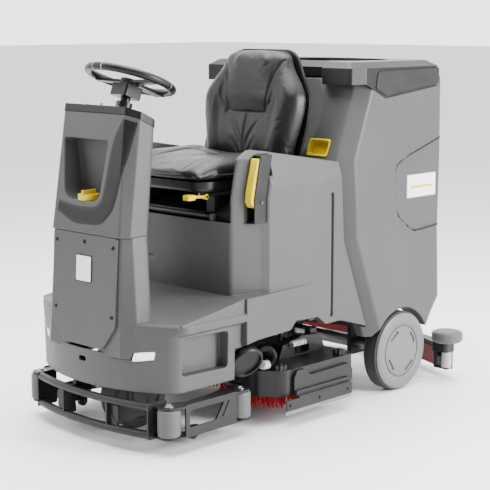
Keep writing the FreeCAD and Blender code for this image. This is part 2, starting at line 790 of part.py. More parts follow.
def seat_frame():
    """The seat pan with its runners, and the shell behind the backrest."""
    pan = block(-seat_half_width + 14, seat_half_width - 14, seat_front_y + 24.0, seat_rear_y + 40.0,
                cushion_low_z - 38.0, cushion_low_z - 0.6, 60.0)
    shape = softened(pan, 14.0, lambda e: abs(e.BoundBox.ZMax - (cushion_low_z - 38.0)) < 0.01)
    for side in (-1, 1):
        shape = shape.fuse(block(side * 170.0 - 22, side * 170.0 + 22, -455.0, -65.0, seat_rail_z + 14.0,
                                 cushion_low_z - 30.0, 4.0))
        shape = shape.cut(block(side * 170.0 - 10.4, side * 170.0 + 10.4, -600.0, 100.0,
                          seat_rail_z, seat_rail_z + 20.5))
        shape = shape.cut(block(side * 170.0 - 30, side * 170.0 + 30, -600.0, 100.0, seat_rail_z,
                          seat_rail_z + 12.5))
    y, z = seat_front_y + 70.0, cushion_low_z - 54.0
    pin = rod(V(186.0, y, z), V(216.0, y, z), 4.0)
    boss = block(187.0, 197.4, y - 10.0, y + 10.0, z - 10.0, cushion_low_z - 30.0, 6.0, "x")
    return fuse(shape, back_shell(), boss, pin)


def back_profile(front, rear, low_z, top_z):
    """Side-view outline of a leaning slab behind the cushion."""
    rise = back_top_z - back_low_z
    def lean(z):
        return back_lean * max(0.0, z - back_low_z) / rise
    return [(front, low_z), (rear, low_z), (rear, back_low_z), (rear + lean(top_z), top_z),
            (front + lean(top_z), top_z), (front, back_low_z)]


def back_outline(grow):
    """Front-view outline of the backrest, wide at the shoulders."""
    return [(-208 - grow, back_low_z - 60.0), (208 + grow, back_low_z - 60.0),
            (back_half_width + grow, 1060.0), (back_half_width + 6.0 + grow, 1160.0),
            (150.0 + grow, back_top_z + grow), (-150.0 - grow, back_top_z + grow),
            (-back_half_width - 6.0 - grow, 1160.0), (-back_half_width - grow, 1060.0)]


BACK_RADII = [30.0, 30.0, 60.0, 90.0, 80.0, 80.0, 90.0, 60.0]


def back_shell():
    """The hard shell behind the backrest, joined to the pan by its foot."""
    front = seat_rear_y + back_thickness + 0.8
    slab = prism(back_profile(front, front + shell_thickness, cushion_low_z - 38.0,
                 back_top_z + 6.0), "x", -400, 400)
    face = prism(back_outline(3.0), "y", -400, 300, BACK_RADII)
    foot = block(-150, 150, seat_rear_y, front + 8.0, cushion_low_z - 38.0, cushion_low_z - 14.0)
    return fuse(slab.common(face.fuse(block(-160, 160, -400, 300, 700, 960))), foot)


def seat_cushion():
    """Plain solid of the seat cushion."""
    pad = block(-seat_half_width, seat_half_width, seat_front_y, seat_rear_y - 2.0, cushion_low_z,
                cushion_low_z + cushion_thickness, 70.0)
    return softened(pad, 22.0, lambda e: e.BoundBox.ZMin > cushion_low_z + cushion_thickness - 0.01)


def seat_back():
    """Plain solid of the backrest."""
    slab = prism(back_profile(seat_rear_y, seat_rear_y + back_thickness, back_low_z - 50.0,
                 back_top_z), "x", -400, 400)
    return slab.common(prism(back_outline(0.0), "y", -400, 300, BACK_RADII))


def slide_lever():
    """The lever that frees the seat slide, on a short pivot under the pan's front."""
    y = seat_front_y + 70.0
    z = cushion_low_z - 54.0
    bar = rod(V(205.0, y, z), V(205.0, y - 66.0, z + 4.0), 5.0)
    grip = block(190.0, 222.0, y - 98.0, y - 62.0, z - 5.0, z + 12.0, 6.0)
    eye = rod(V(198.0, y, z), V(212.0, y, z), 10.0).cut(rod(V(190, y, z), V(220, y, z),
            4.0 + running_gap))
    bar = bar.cut(rod(V(190, y, z), V(220, y, z), 4.0 + running_gap))
    return fuse(bar, grip, eye)


# ------------------------------------------------------------------ recovery tank
def tank_plan(z, inset, front_extra=0.0):
    """Plan outline of the tank at one height: bevelled front corners, round rear corners."""
    front = line_y(SEAM, z) + 4.0 + inset + front_extra
    rear = line_y(TANK_REAR, z) - inset
    half = tank_half_width - inset
    shoulder = line_y(SEAM, z) + 4.0 + tank_bevel_y + inset * 0.4
    step = half - tank_bevel_x + inset * 0.3
    points = [(-step, front), (step, front), (half, max(shoulder, front + 8.0)), (half, rear),
              (-half, rear), (-half, max(shoulder, front + 8.0))]
    return rounded_wire(points, [16, 16, 24, 46, 46, 24], lambda a, b: V(a, b, z))


def cover_edge(gap, top):
    """Side view of what the cover hangs over, its lower edge a shallow vee."""
    rear = tank_top_z - 35.0 + gap
    return [(60.0, tank_top_z - 20.0 + gap), (189.0, tank_top_z - 18.0 + gap),
            (305.0, tank_top_z - 72.0 + gap), (642.0, rear), (760.0, rear), (760.0, top), (60.0, top)]


def waste_tank():
    """The open-topped recovery tank with its wheel arches."""
    outer = loft([tank_plan(z, 0.0) for z in [236.0] + TANK_LEVELS])
    inner = loft([tank_plan(z, tank_wall,
                 28.0) for z in [tank_floor_z + tank_wall] + TANK_LEVELS[2:-1] + [tank_top_z - 107.0]]
                 + [tank_plan(z, tank_wall + cover_skin, 12.0) for z in (tank_top_z - 82.0, tank_top_z + 28.0)])
    centre = V(0, rear_wheel_y, rear_wheel_radius)
    arch = both_sides(rod(centre + X * arch_inner_x, centre + X * 500.0, arch_radius))
    arch_wall = both_sides(rod(centre + X * (arch_inner_x - 9.0), centre + X * 450.0, arch_radius + 9.0))
    under = block(-arch_inner_x, arch_inner_x, 0, 900, 0, tank_floor_z)
    rear_low = prism([(560.0, 100.0), (620.0, 246.0), (668.0, 268.0), (720.0, 330.0), (900.0,
                     330.0), (900.0, 100.0)],
                     "x", -500, 500, [0, 20, 30, 20, 0, 0])
    rebate = both_sides(prism(cover_edge(-1.5, 1400.0), "x", tank_half_width - cover_skin, 500.0))
    dish = turned([(-60.0, 0.0), (-60.0, 200.0), (0.0, 236.0), (24.0, 150.0), (30.0, 0.0)], ORIGIN, Y)
    dish.rotate(ORIGIN, X, -math.degrees(math.atan2(119.0, 317.0)))
    dish.translate(V(0, line_y(SEAM, 1085.0) + 2.0, 1085.0))
    groove = side_panel_groove()
    outlet = rod(V(spigot_x, 600.0, spigot_z), V(spigot_x, 800.0, spigot_z), spigot_radius - 4.0)
    shell = outer.cut(inner.cut(arch_wall))
    shell = cut(shell, arch, under, rear_low, rebate, dish, groove, mirrored(groove),
                grip_block(0.3, 30.0))
    return fuse(shell, tank_spigot()).cut(outlet)


def side_panel_groove():
    """The shallow rebate that marks the rear part of the tank's side."""
    points = [(374, 907), (393, 699), (498, 628), (760, 650), (760, 1016)]
    return prism(points, "x", tank_half_width - 5.0, tank_half_width + 20.0, [14, 24, 24, 0, 0])


def grip_block(grow, depth):
    """The grip's outside, sunk into the tank's sloping front."""
    y = line_y(SEAM, 980.0) + 4.0
    shape = block(grip_x - 52 - grow, grip_x + 52 + grow, y - 3.0, y + depth + grow, 944.0 - grow,
                  1012.0 + grow, 10.0, "y")
    shape.rotate(V(0, y, 980.0), X, -math.degrees(math.atan2(119.0, 317.0)))
    return shape


def tank_grip():
    """The recessed yellow grip on the tank's front corner."""
    return grip_block(0.0, 30.0).cut(grip_block(-7.0, 32.0).common(grip_block(5.0, 24.0)))


def cover_plan(z, inset):
    """Plan outline of the tank cover, its front corners standing forward."""
    half = tank_half_width - inset
    points = [(-half, 190.0 + inset * 0.5), (-half + 26.0, 126.0 + inset), (-236.0, 126.0 + inset),
              (-196.0, 196.0 + inset), (196.0, 196.0 + inset), (236.0, 126.0 + inset),
              (half - 26.0, 126.0 + inset), (half, 190.0 + inset * 0.5),
              (half, 668.0 - inset), (-half, 668.0 - inset)]
    return rounded_wire(points, [14, 14, 14, 20, 20, 14, 14, 14, 50, 50], lambda a, b: V(a, b, z))


def tank_cover():
    """The dark cover: it hangs over the tank's sides and carries a shallow oval tray."""
    top = loft([cover_plan(tank_top_z - 82.0, 0.0), cover_plan(cover_top_z - 22.0, 0.0),
               cover_plan(cover_top_z, 34.0)])
    high = cover_top_z + 104.0
    side = prism(cover_edge(0.0, high), "x", -500, 500)
    above_rim = block(-500, 500, 0, 900, cover_rim_z, high)
    outside = block(-500, 500, 0, 900, 0, high).cut(
        block(-tank_half_width + cover_skin - 0.6, tank_half_width - cover_skin + 0.6, 0, 900, 0, high))
    nose = both_sides(block(214.0, 500.0, 100.0, 174.0, tank_top_z - 20.0, high))
    body = top.common(side).common(fuse(above_rim, outside, nose))
    body = body.cut(tank_solid_near_rim())
    hollow = loft([cover_plan(cover_rim_z - 60.0, 15.0), cover_plan(cover_top_z - 28.0, 15.0),
                   cover_plan(cover_top_z - 9.0, 42.0)])
    hollow = hollow.cut(tray_shape(5.0))
    lugs = []
    for x in (-150.0, 150.0):
        lug = block(x - 14, x + 14, 655.0, hinge_y + 9.0, hinge_z - 8.4, hinge_z + 9.0, 8.6, "x")
        bore = rod(V(x - 20, hinge_y, hinge_z), V(x + 20, hinge_y, hinge_z), 5.0 + running_gap)
        lugs.append(lug.cut(bore))
    shell = cut(body, hollow, tray_shape(0.0), insert_shape(0.4))
    return fuse(shell, *lugs)


def tank_solid_near_rim():
    """The tank's outside grown by a gap, which the cover has to clear."""
    grown = loft([tank_plan(z, -2.0, 2.0) for z in (933.0, tank_top_z + 1.0)])
    return grown.cut(both_sides(block(tank_half_width - cover_skin + 0.6, 500.0, 188.0, 900, 0, 1400)))


def tray_shape(grow):
    """The oval tray in the cover's top."""
    points = [(-260 - grow, 240.0 - grow), (260 + grow, 240.0 - grow), (260 + grow, 604.0 + grow),
              (-260 - grow, 604.0 + grow)]
    return prism(points, "z", cover_top_z - 24.0 - grow, cover_top_z + 30.0, 160.0)


def insert_shape(grow):
    """The flat panel let into each side of the cover."""
    points = [(246 - grow, 1198.0 - grow), (306, 1170.0 - grow), (640 + grow, 1206.0 - grow),
              (640 + grow, cover_top_z - 30.0 + grow), (258 - grow, cover_top_z - 34.0 + grow)]
    half = tank_half_width
    return both_sides(prism(points, "x", half - 3.0 - grow, half + 3.0, [10, 10, 4, 4, 24]))


def cover_panels():
    """The lighter panels let into the cover's sides."""
    return insert_shape(0.0)


def tank_hinge():
    """Knuckles and pins at the rear of the tank, which the cover turns on."""
    pieces = []
    for x in (-150.0, 150.0):
        pin = rod(V(x - 32, hinge_y, hinge_z), V(x + 32, hinge_y, hinge_z), 5.0)
        for side in (-1, 1):
            cheek = block(x + side * 24.0 - 7.0, x + side * 24.0 + 7.0, hinge_y - 16.0, hinge_y + 9.0,
                          hinge_z - 60.0, hinge_z + 9.0, 8.0, "x")
            pin = pin.fuse(cheek)
        pieces.append(pin.removeSplitter())
    return Part.Compound(pieces)


def tank_spigot():
    """The hose spigot on the tank's rear wall, where the suction hose plugs on."""
    rear = line_y(TANK_REAR, spigot_z)
    tube = rod(V(spigot_x, rear - tank_wall + 2.0, spigot_z), V(spigot_x, rear + spigot_length,
               spigot_z), spigot_radius)
    flange = rod(V(spigot_x, rear - 4.0, spigot_z), V(spigot_x, rear + 6.0, spigot_z),
                 spigot_radius + 12.0)
    return fuse(tube, flange)


# ------------------------------------------------------------------ chassis
def chassis_frame():
    """Two steel rails, cross members, the steering plate and the axle carriers."""
    top = rail_low_z + rail_height
    inner = rail_inner_x
    outer = rail_inner_x + rail_width
    front, rear = -770.0, 640.0
    rails = [block(side * (inner + rail_width / 2) - rail_width / 2,
             side * (inner + rail_width / 2) + rail_width / 2,
                   front, rear, rail_low_z, top, 4.0, "y") for side in (-1, 1)]
    pieces = [rails[1]]
    pieces.append(block(-outer, outer, drive_wheel_y - 80.0, drive_wheel_y + 80.0, top - 1.0,
                  top + chassis_plate_thickness, 10.0))
    for y in (guide_rod_y - 18.0, 600.0):
        pieces.append(block(-outer, outer, y, y + 36.0, rail_low_z + 2.0, top - 2.0, 3.0, "x"))
    for side in (-1, 1):
        x = side * (outer - 12.0)
        pieces.append(block(x - 10.0, x + 10.0, rear_wheel_y - 50.0, rear_wheel_y + 50.0,
                      rear_wheel_radius - 45.0,
                            rail_low_z + 6.0, 12.0, "x"))
    for side in (-1, 1):
        x = side * (inner + 12.0)
        pieces.append(block(x - 8.0, x + 8.0, -835.0, -700.0, 90.0, 150.0, 8.0, "x"))
        pieces.append(block(x - 8.0, x + 8.0, -770.0, -712.0, 120.0, rail_low_z + 5.0, 8.0, "x"))
    frame = fuse(rails[0], *pieces)
    bore = rod(V(0, drive_wheel_y, top - 30.0), V(0, drive_wheel_y, top + 60.0),
               steer_spindle_radius + running_gap)
    axle = rod(V(-400, rear_wheel_y, rear_wheel_radius), V(400, rear_wheel_y, rear_wheel_radius),
               axle_radius + 10.0 + running_gap)
    return fuse(cut(frame, bore, axle), deck_guides(), squeegee_bracket())


def rear_axle():
    """The beam axle with its two wheel journals."""
    z = rear_wheel_radius
    beam = rod(V(-290, rear_wheel_y, z), V(290, rear_wheel_y, z), axle_radius + 10.0)
    journal = rod(V(-rear_wheel_face_x + 26.0, rear_wheel_y, z), V(rear_wheel_face_x - 26.0,
                  rear_wheel_y, z), axle_radius)
    return fuse(beam, journal)


# ------------------------------------------------------------------ wheels
def rear_rim(side):
    """Light wheel disc: a rounded ring around a recessed hub cover with moulded slots."""
    face = rear_wheel_face_x
    inner = face - rear_wheel_width
    rim, hub = rear_rim_radius, rear_hub_radius
    profile = [(inner + 6.0, 20.0), (inner + 6.0, rim - 14.0), (face - 12.0, rim - 14.0),
               (face - 12.0, rim - 0.5),
               (face - 7.0, rim), (face - 2.0, rim - 9.0), (face, rim - 22.0), (face - 1.0, hub + 14.0),
               (face - 5.0, hub + 2.0), (face - 10.0, hub + 1.0), (face - 10.0,
                       hub - 2.0), (face - 5.0, hub - 3.0),
               (face - 4.0, hub - 12.0), (face - 3.0, 0.0), (inner + 30.0, 0.0), (inner + 30.0, 20.0)]
    disc = turned([(along, radius) for along, radius in profile], V(0, rear_wheel_y,
                  rear_wheel_radius), X)
    hub_solid = rod(V(inner + 6.0, rear_wheel_y, rear_wheel_radius), V(face - 8.0, rear_wheel_y,
                    rear_wheel_radius), 34.0)
    bore = rod(V(inner - 10.0, rear_wheel_y, rear_wheel_radius), V(face - 25.0, rear_wheel_y,
               rear_wheel_radius),
               axle_radius + running_gap)
    shape = disc.fuse(hub_solid).cut(bore)
    for angle in (35.0, 125.0, 215.0, 305.0):
        slot = prism([(-30.0, 74.0), (30.0, 74.0), (24.0, 88.0), (-24.0, 88.0)], "x", face - 10.0,
                     face + 5.0, 4.0)
        slot.rotate(ORIGIN, X, angle)
        slot.translate(V(0, rear_wheel_y, rear_wheel_radius))
        shape = shape.cut(slot)
    return shape if side > 0 else mirrored(shape)


def rear_tyre(side):
    """Solid tyre with ribs around the tread."""
    face = rear_wheel_face_x - 12.4
    inner = rear_wheel_face_x - rear_wheel_width
    radius, base = rear_wheel_radius, rear_rim_radius - 13.9
    profile = [(inner, base), (inner, radius - 5.0), (inner + 5.0, radius)]
    pitch = (rear_wheel_width - 12.4) / (tread_grooves + 1.0)
    for index in range(tread_grooves):
        centre = inner + pitch * (index + 1.0)
        half = tread_groove_width / 2.0
        profile += [(centre - half, radius), (centre - half * 0.6, radius - tread_depth),
                    (centre + half * 0.6, radius - tread_depth), (centre + half, radius)]
    profile += [(face - 2.0, radius), (face, radius - 2.0), (face, base)]
    shape = turned(profile, V(0, rear_wheel_y, rear_wheel_radius), X)
    return shape if side > 0 else mirrored(shape)


def drive_wheel():
    """The steered drive wheel: tyre and hub in one moulding."""
    half = drive_wheel_width / 2.0
    radius = drive_wheel_radius
    profile = [(-half, drive_axle_radius + running_gap), (-half, 60.0), (-half + 8.0, 66.0),
               (-half + 8.0, 84.0),
               (-half, 90.0), (-half, radius - 8.0), (-half + 8.0, radius), (half - 8.0,
                       radius), (half, radius - 8.0),
               (half, 90.0), (half - 8.0, 84.0), (half - 8.0, 66.0), (half, 60.0), (half,
                       drive_axle_radius + running_gap)]
    return turned(profile, V(0, drive_wheel_y, radius), X)


def steering_fork():
    """Fork, axle and vertical spindle that carry the drive wheel."""
    half = drive_wheel_width / 2.0 + fork_gap
    crown_z = rail_low_z - 16.0
    y, z = drive_wheel_y, drive_wheel_radius
    shape = block(-half - fork_plate, half + fork_plate, y - 46.0, y + 46.0, crown_z - 14.0,
                  crown_z, 20.0)
    for side in (-1, 1):
        x = side * (half + fork_plate / 2.0)
        leg = prism([(y - 24.0, z - 22.0), (y + 24.0, z - 22.0), (y + 40.0, crown_z - 4.0),
                    (y - 40.0, crown_z - 4.0)],
                    "x", x - fork_plate / 2.0, x + fork_plate / 2.0, [18, 18, 0, 0])
        shape = shape.fuse(leg)
    axle = rod(V(-half - fork_plate - 6.0, y, z), V(half + fork_plate + 6.0, y, z), drive_axle_radius)
    spindle = rod(V(0, y, crown_z - 2.0), V(0, y,
                  rail_low_z + rail_height + chassis_plate_thickness + 18.0),
                  steer_spindle_radius)
    return fuse(shape, axle, spindle)


# ------------------------------------------------------------------ bumper
def bow_tube(z, radius):
    """A tube bent to the bow of the front."""
    path = Part.Arc(V(-bumper_end_x, bumper_end_y, z), V(0, bumper_bow_y, z), V(bumper_end_x,
                    bumper_end_y, z)).toShape()
    start = path.valueAt(path.FirstParameter)
    tangent = path.tangentAt(path.FirstParameter)
    ring = Part.Wire([Part.makeCircle(radius, start, tangent)])
    return Part.Wire([path]).makePipeShell([ring], True, False)


def bumper_frame():
    """Two bowed tubes, their end plates, the uprights and gussets between them."""
    pieces = [bow_tube(bumper_upper_z, bumper_tube_radius), bow_tube(bumper_lower_z, bumper_tube_radius)]
    low, high = bumper_lower_z - bumper_tube_radius, bumper_upper_z + bumper_tube_radius
    for side in (-1, 1):
        x = side * (bumper_end_x - 1.0)
        pieces.append(block(x - bumper_plate / 2, x + bumper_plate / 2, bumper_end_y - 16.0, -742.0,
                      low, high, 5.0, "x"))
        inner = side * 118.0
        upright = block(inner - 4.0, inner + 4.0, -856.0, -800.0, bumper_lower_z, bumper_upper_z,
                        3.0, "x")
        pieces.append(upright)
        gusset = prism([(side * 122.0, bumper_lower_z + 2.0), (side * 176.0, bumper_lower_z + 2.0),
                        (side * 122.0, bumper_upper_z - 40.0)], "y", -844.0, -838.0)
        pieces.append(gusset)
        foot = block(side * 141.0 - 23.0, side * 141.0 + 23.0, -842.0, -835.02, 84.0, 148.0, 6.0, "y")
        pieces.append(foot)
    return fuse(*pieces)


def bumper_side(side):
    """A channel along each side, with the ears that hold its two rollers."""
    x = side_plate_x
    low, high = bumper_lower_z - 3.0, bumper_upper_z + 6.0
    rear = side_roller_y
    web = prism([(-730.0, low), (rear - 46.0, low), (rear - 46.0, high), (-730.0, high)], "x",
                x - bumper_plate, x)
    window = prism([(-712.0, 90.0), (-588.0, 90.0), (-546.0, 149.0), (-712.0, 149.0)], "x",
                   x - 50.0, x + 5.0, 5.0)
    notch = prism([(-568.0, 96.0), (-552.0, 96.0), (-520.0, 149.0), (-542.0, 149.0)], "x", x - 3.0,
                  x + 5.0, 2.0)
    ears = []
    for z in (roller_low_z - 2.0 - bumper_plate, roller_low_z + roller_height + 2.0):
        plan = [(bumper_end_x + 2.5, front_roller_y - 30.0), (front_roller_x + 30.0,
                front_roller_y - 34.0),
                (x, front_roller_y + 42.0), (x, rear + 34.0), (side_roller_x - 34.0, rear + 36.0),
                (side_roller_x - 40.0, rear - 60.0), (x - 60.0, -560.0), (x - 46.0,
                        -690.0), (bumper_end_x + 2.5, -742.0)]
        ears.append(prism(plan, "z", z, z + bumper_plate, [4, 30, 12, 26, 26, 20, 20, 20, 0]))
    shape = fuse(web, *ears)
    for roller_x, roller_y in ((front_roller_x, front_roller_y), (side_roller_x, side_roller_y)):
        shape = shape.cut(rod(V(roller_x, roller_y, 0), V(roller_x, roller_y, 300),
                          roller_bolt_radius + running_gap))
    bracket = block(guide_wheel_x - 2.0, guide_wheel_x + 40.0, guide_wheel_y - 16.0, guide_wheel_y + 16.0,
                    roller_low_z - 2.0 - bumper_plate, roller_low_z - 2.0, 4.0)
    shape = shape.fuse(bracket)
    shape = shape.cut(window).cut(notch)
    return shape if side > 0 else mirrored(shape)


def bumper_sides():
    """Both side channels."""
    forks = guide_brackets()
    return Part.Compound([fuse(bumper_side(side), forks.Solids[index]) for index,
                         side in enumerate((1, -1))])


def bumper_roller(x, y):
    """A plastic guide roller that turns on its bolt."""
    radius, low, high = roller_radius, roller_low_z, roller_low_z + roller_height
    bore = roller_bolt_radius + running_gap
    profile = [(low, bore), (low, radius - 6.0), (low + 3.0, radius - 1.5), (low + 7.0, radius),
               (high - 7.0, radius), (high - 3.0, radius - 1.5), (high, radius - 6.0), (high, bore)]
    return turned(profile, V(x, y, 0), Z)


def roller_bolt(x, y):
    """The bolt through a roller and its two ears, with washer and nut."""
    low = roller_low_z - 2.0 - bumper_plate
    high = roller_low_z + roller_height + 2.0 + bumper_plate
    shank = rod(V(x, y, low - 9.0), V(x, y, high + 4.0), roller_bolt_radius)
    washer = rod(V(x, y, high + 0.02), V(x, y, high + 3.0), 17.0)
    head = prism([(x + 10.0 * math.cos(math.radians(a)),
                 y + 10.0 * math.sin(math.radians(a))) for a in range(0, 360, 60)],
                 "z", high + 2.9, high + 10.0)
    nut = prism([(x + 10.0 * math.cos(math.radians(a)),
                y + 10.0 * math.sin(math.radians(a))) for a in range(0, 360, 60)],
                "z", low - 8.0, low - 0.02)
    return fuse(shank, washer, head, nut)


ROLLER_PLACES = {
    "front_left": (front_roller_x, front_roller_y),
    "front_right": (-front_roller_x, front_roller_y),
    "side_left": (side_roller_x, side_roller_y),
    "side_right": (-side_roller_x, side_roller_y),
}


def roller_bolts():
    """The four roller bolts."""
    return Part.Compound([roller_bolt(x, y) for x, y in ROLLER_PLACES.values()])


def guide_wheel(side):
    """A small wheel under the bumper that carries it over door sills."""
    x = side * guide_wheel_x
    half = guide_wheel_width / 2.0
    bore = 5.0 + running_gap
    profile = [(-half, bore), (-half, guide_wheel_radius - 3.0), (-half + 3.0, guide_wheel_radius),
               (half - 3.0, guide_wheel_radius), (half, guide_wheel_radius - 3.0), (half, bore)]
    return turned(profile, V(x, guide_wheel_y, guide_wheel_z), X)


def guide_brackets():
    """The forks of the two guide wheels, hung from the side channels."""
    half = guide_wheel_width / 2.0 + 2.0
    top = roller_low_z - 2.0 - bumper_plate + 1.0
    x, y, z = guide_wheel_x, guide_wheel_y, guide_wheel_z
    shape = rod(V(x - half - 4.0, y, z), V(x + half + 4.0, y, z), 5.0)
    for sign in (-1, 1):
        cheek = block(min(x + sign * half, x + sign * (half + 4.0)), max(x + sign * half,
                      x + sign * (half + 4.0)),
                      y - 9.0, y + 9.0, z - 9.0, top, 6.0, "x")
        shape = shape.fuse(cheek)
    shape = shape.fuse(block(x - half - 4.0, x + half + 20.0, y - 12.0, y + 12.0, top - 3.0, top, 2.0))
    return both_sides(shape.removeSplitter())


# ------------------------------------------------------------------ brush deck
BRUSH_PLACES = [(brush_left_x, brush_left_y), (brush_right_x, brush_right_y)]


def deck_housing():
    """The deck plate with its skirts, brush hoods and lifting lugs."""
    half, low, top = deck_half_width, deck_skirt_low_z, deck_top_z
    plan = [(-half, deck_front_y + 70.0), (-half + 90.0, deck_front_y), (half - 90.0, deck_front_y),
            (half, deck_front_y + 70.0), (half, deck_rear_y), (-half, deck_rear_y)]
    body = prism(plan, "z", low, top, [60, 60, 60, 60, 40, 40])
    hollow = prism([(-half + 8.0, deck_front_y + 74.0), (-half + 94.0, deck_front_y + 8.0),
                    (half - 94.0, deck_front_y + 8.0), (half - 8.0, deck_front_y + 74.0),
                    (half - 8.0, deck_rear_y - 8.0), (-half + 8.0, deck_rear_y - 8.0)],
                   "z", low - 5.0, top - deck_plate, [54, 54, 54, 54, 34, 34])
    front_window = block(-half + 110.0, half - 110.0, deck_front_y - 20.0, deck_front_y + 30.0,
                         low - 5.0, low + 36.0)
    shape = body.cut(hollow).cut(front_window)
    for side in (-1, 1):
        cheek = prism([(side_bar_front_y + 62.0, 108.0), (side_bar_front_y + 62.0, 176.0),
                       (side_bar_front_y + 78.0, 200.0), (side_bar_front_y + 120.0, 200.0),
                       (side_bar_front_y + 150.0, 172.0), (side_bar_rear_y + 6.0,
                               176.0), (side_bar_rear_y + 24.0, 150.0),
                       (side_bar_rear_y + 24.0, 108.0)],
                      "x", half - 2.0, half + 14.0, [4, 10, 10, 10, 10, 10, 14, 4])
        shape = shape.fuse(cheek if side > 0 else mirrored(cheek))
        bridge = prism([(-150.0, top - 1.0), (110.0, top - 1.0), (88.0, top + 62.0), (-20.0,
                       top + 70.0), (-128.0, top + 48.0)],
                       "x", 236.0, 276.0, [4, 4, 20, 24, 16])
        gap = prism([(-64.0, top + 3.0), (20.0, top + 3.0), (20.0, top + 34.0), (-64.0,
                    top + 34.0)], "x", 200.0, 300.0, 10.0)
        post = block(228.0, 262.0, 42.0, 86.0, top - 1.0, top + 84.0, 10.0)
        side_parts = bridge.cut(gap).fuse(post)
        shape = shape.fuse(side_parts if side > 0 else mirrored(side_parts))
    for x, y in BRUSH_PLACES:
        shape = shape.fuse(rod(V(x, y, top - 2.0), V(x, y, top + 34.0), motor_radius))
        shape = shape.fuse(rod(V(x, y, top - deck_plate - 22.0), V(x, y, top - 2.0), brush_shaft_radius))
    guide = both_sides(rod(V(guide_rod_x, guide_rod_y, 0), V(guide_rod_x, guide_rod_y, 400),
                       guide_rod_radius + running_gap))
    return cut(shape.removeSplitter(), guide)


def deck_guides():
    """The two guide rods that hang from the chassis, which the deck slides on."""
    low = deck_top_z - deck_plate - deck_travel - 10.0
    rods = rod(V(guide_rod_x, guide_rod_y, low), V(guide_rod_x, guide_rod_y, rail_low_z + 20.0),
               guide_rod_radius)
    return both_sides(rods)


def deck_grips():
    """Ribbed light grips on the deck's carrying handles."""
    grip = block(270.0, 300.0, -92.0, -22.0, deck_top_z + 40.0, deck_top_z + 60.0, 9.0, "y")
    grip = grip.cut(block(235.0, 276.02, -200, 200, 0, 400))
    for index in range(4):
        y = -82.0 + index * 16.0
        grip = grip.cut(block(290.0, 310.0, y, y + 4.0, 0, 400))
    return both_sides(grip)


def side_squeegee_bars():
    """The steel strips that clamp the side squeegees."""
    bar = block(side_bar_x - 5.0, side_bar_x, side_bar_front_y, side_bar_rear_y, 66.0, 105.0, 3.0, "x")
    carrier = block(deck_half_width + 14.02, side_bar_x - 11.02, side_bar_front_y + 66.0,
                    side_bar_rear_y - 4.0, 94.0, 128.0, 4.0, "x")
    top = block(deck_half_width + 14.02, side_bar_x, side_bar_front_y + 66.0, side_bar_rear_y - 4.0,
                105.0, 112.0, 2.0, "y")
    shape = fuse(bar, carrier, top)
    for y in (side_bar_front_y + 22.0, (side_bar_front_y + side_bar_rear_y) / 2.0,
              side_bar_rear_y - 22.0):
        shape = shape.fuse(rod(V(side_bar_x - 1.0, y, 85.0), V(side_bar_x + 4.0, y, 85.0), 6.0))
    return both_sides(shape.removeSplitter())


def side_squeegee_lips():
    """The rubber lips under the side strips."""
    lip = block(side_bar_x - 11.0, side_bar_x - 5.02, side_bar_front_y, side_bar_rear_y,
                deck_lip_low_z, 93.98, 0)
    return both_sides(lip)


def deck_knobs():
    """Four star knobs that hold the side squeegees to the deck."""
    knobs = []
    for x, y in ((deck_half_width - 30.0, side_bar_front_y + 34.0), (deck_half_width - 26.0,
                 side_bar_rear_y - 8.0)):
        points = []
        for index in range(8):
            angle = math.radians(45.0 * index)
            points.append((x + 25.0 * math.cos(angle), y + 25.0 * math.sin(angle)))
            angle += math.radians(22.5)
            points.append((x + 19.0 * math.cos(angle), y + 19.0 * math.sin(angle)))
        star = prism(points, "z", deck_top_z + 0.02, deck_top_z + 18.0, 3.0)
        knobs.append(star.fuse(rod(V(x, y, deck_top_z + 17.0), V(x, y, deck_top_z + 23.0),
                     7.0)).removeSplitter())
    return Part.Compound(knobs + [mirrored(knob) for knob in knobs])


def brush_disc(place):
    """The backing disc of one brush, with its drive hub."""
    x, y = place
    top = bristle_low_z + bristle_height + brush_disc_thickness
    disc = rod(V(x, y, top - brush_disc_thickness), V(x, y, top), brush_radius - 8.0)
    hub = rod(V(x, y, top - 1.0), V(x, y, deck_top_z - deck_plate - 4.0), 34.0)
    bore = rod(V(x, y, top - 4.0), V(x, y, deck_top_z + 5.0), brush_shaft_radius + running_gap)
    return fuse(disc, hub).cut(bore)


def brush_bristles(place):
    """The ring of bristles, as one solid of its outer shape."""
    x, y = place
    low, high = bristle_low_z, bristle_low_z + bristle_height
    profile = [(low, brush_radius - 70.0), (low, brush_radius), (high - 0.02, brush_radius - 10.0),
               (high - 0.02, brush_radius - 66.0)]
    return turned(profile, V(x, y, 0), Z)


# ------------------------------------------------------------------ rear squeegee
def squeegee_bow(offset, half, low, high):
    """A bowed strip behind the machine, offset forward of the main bow."""
    end_x, end_y, bow_y = squeegee_end_x, squeegee_end_y - offset, squeegee_bow_y - offset
    def arc(shift, z):
        return Part.Arc(V(-end_x, end_y + shift, z), V(0, bow_y + shift, z), V(end_x, end_y + shift,
                        z)).toShape()
    outer, inner = arc(half, low), arc(-half, low)
    left = Part.makeLine(outer.Vertexes[0].Point, inner.Vertexes[0].Point)
    right = Part.makeLine(outer.Vertexes[1].Point, inner.Vertexes[1].Point)
    wire = Part.Wire(Part.__sortEdges__([outer, right, inner, left]))
    return Part.Face(wire).extrude(Z * (high - low))


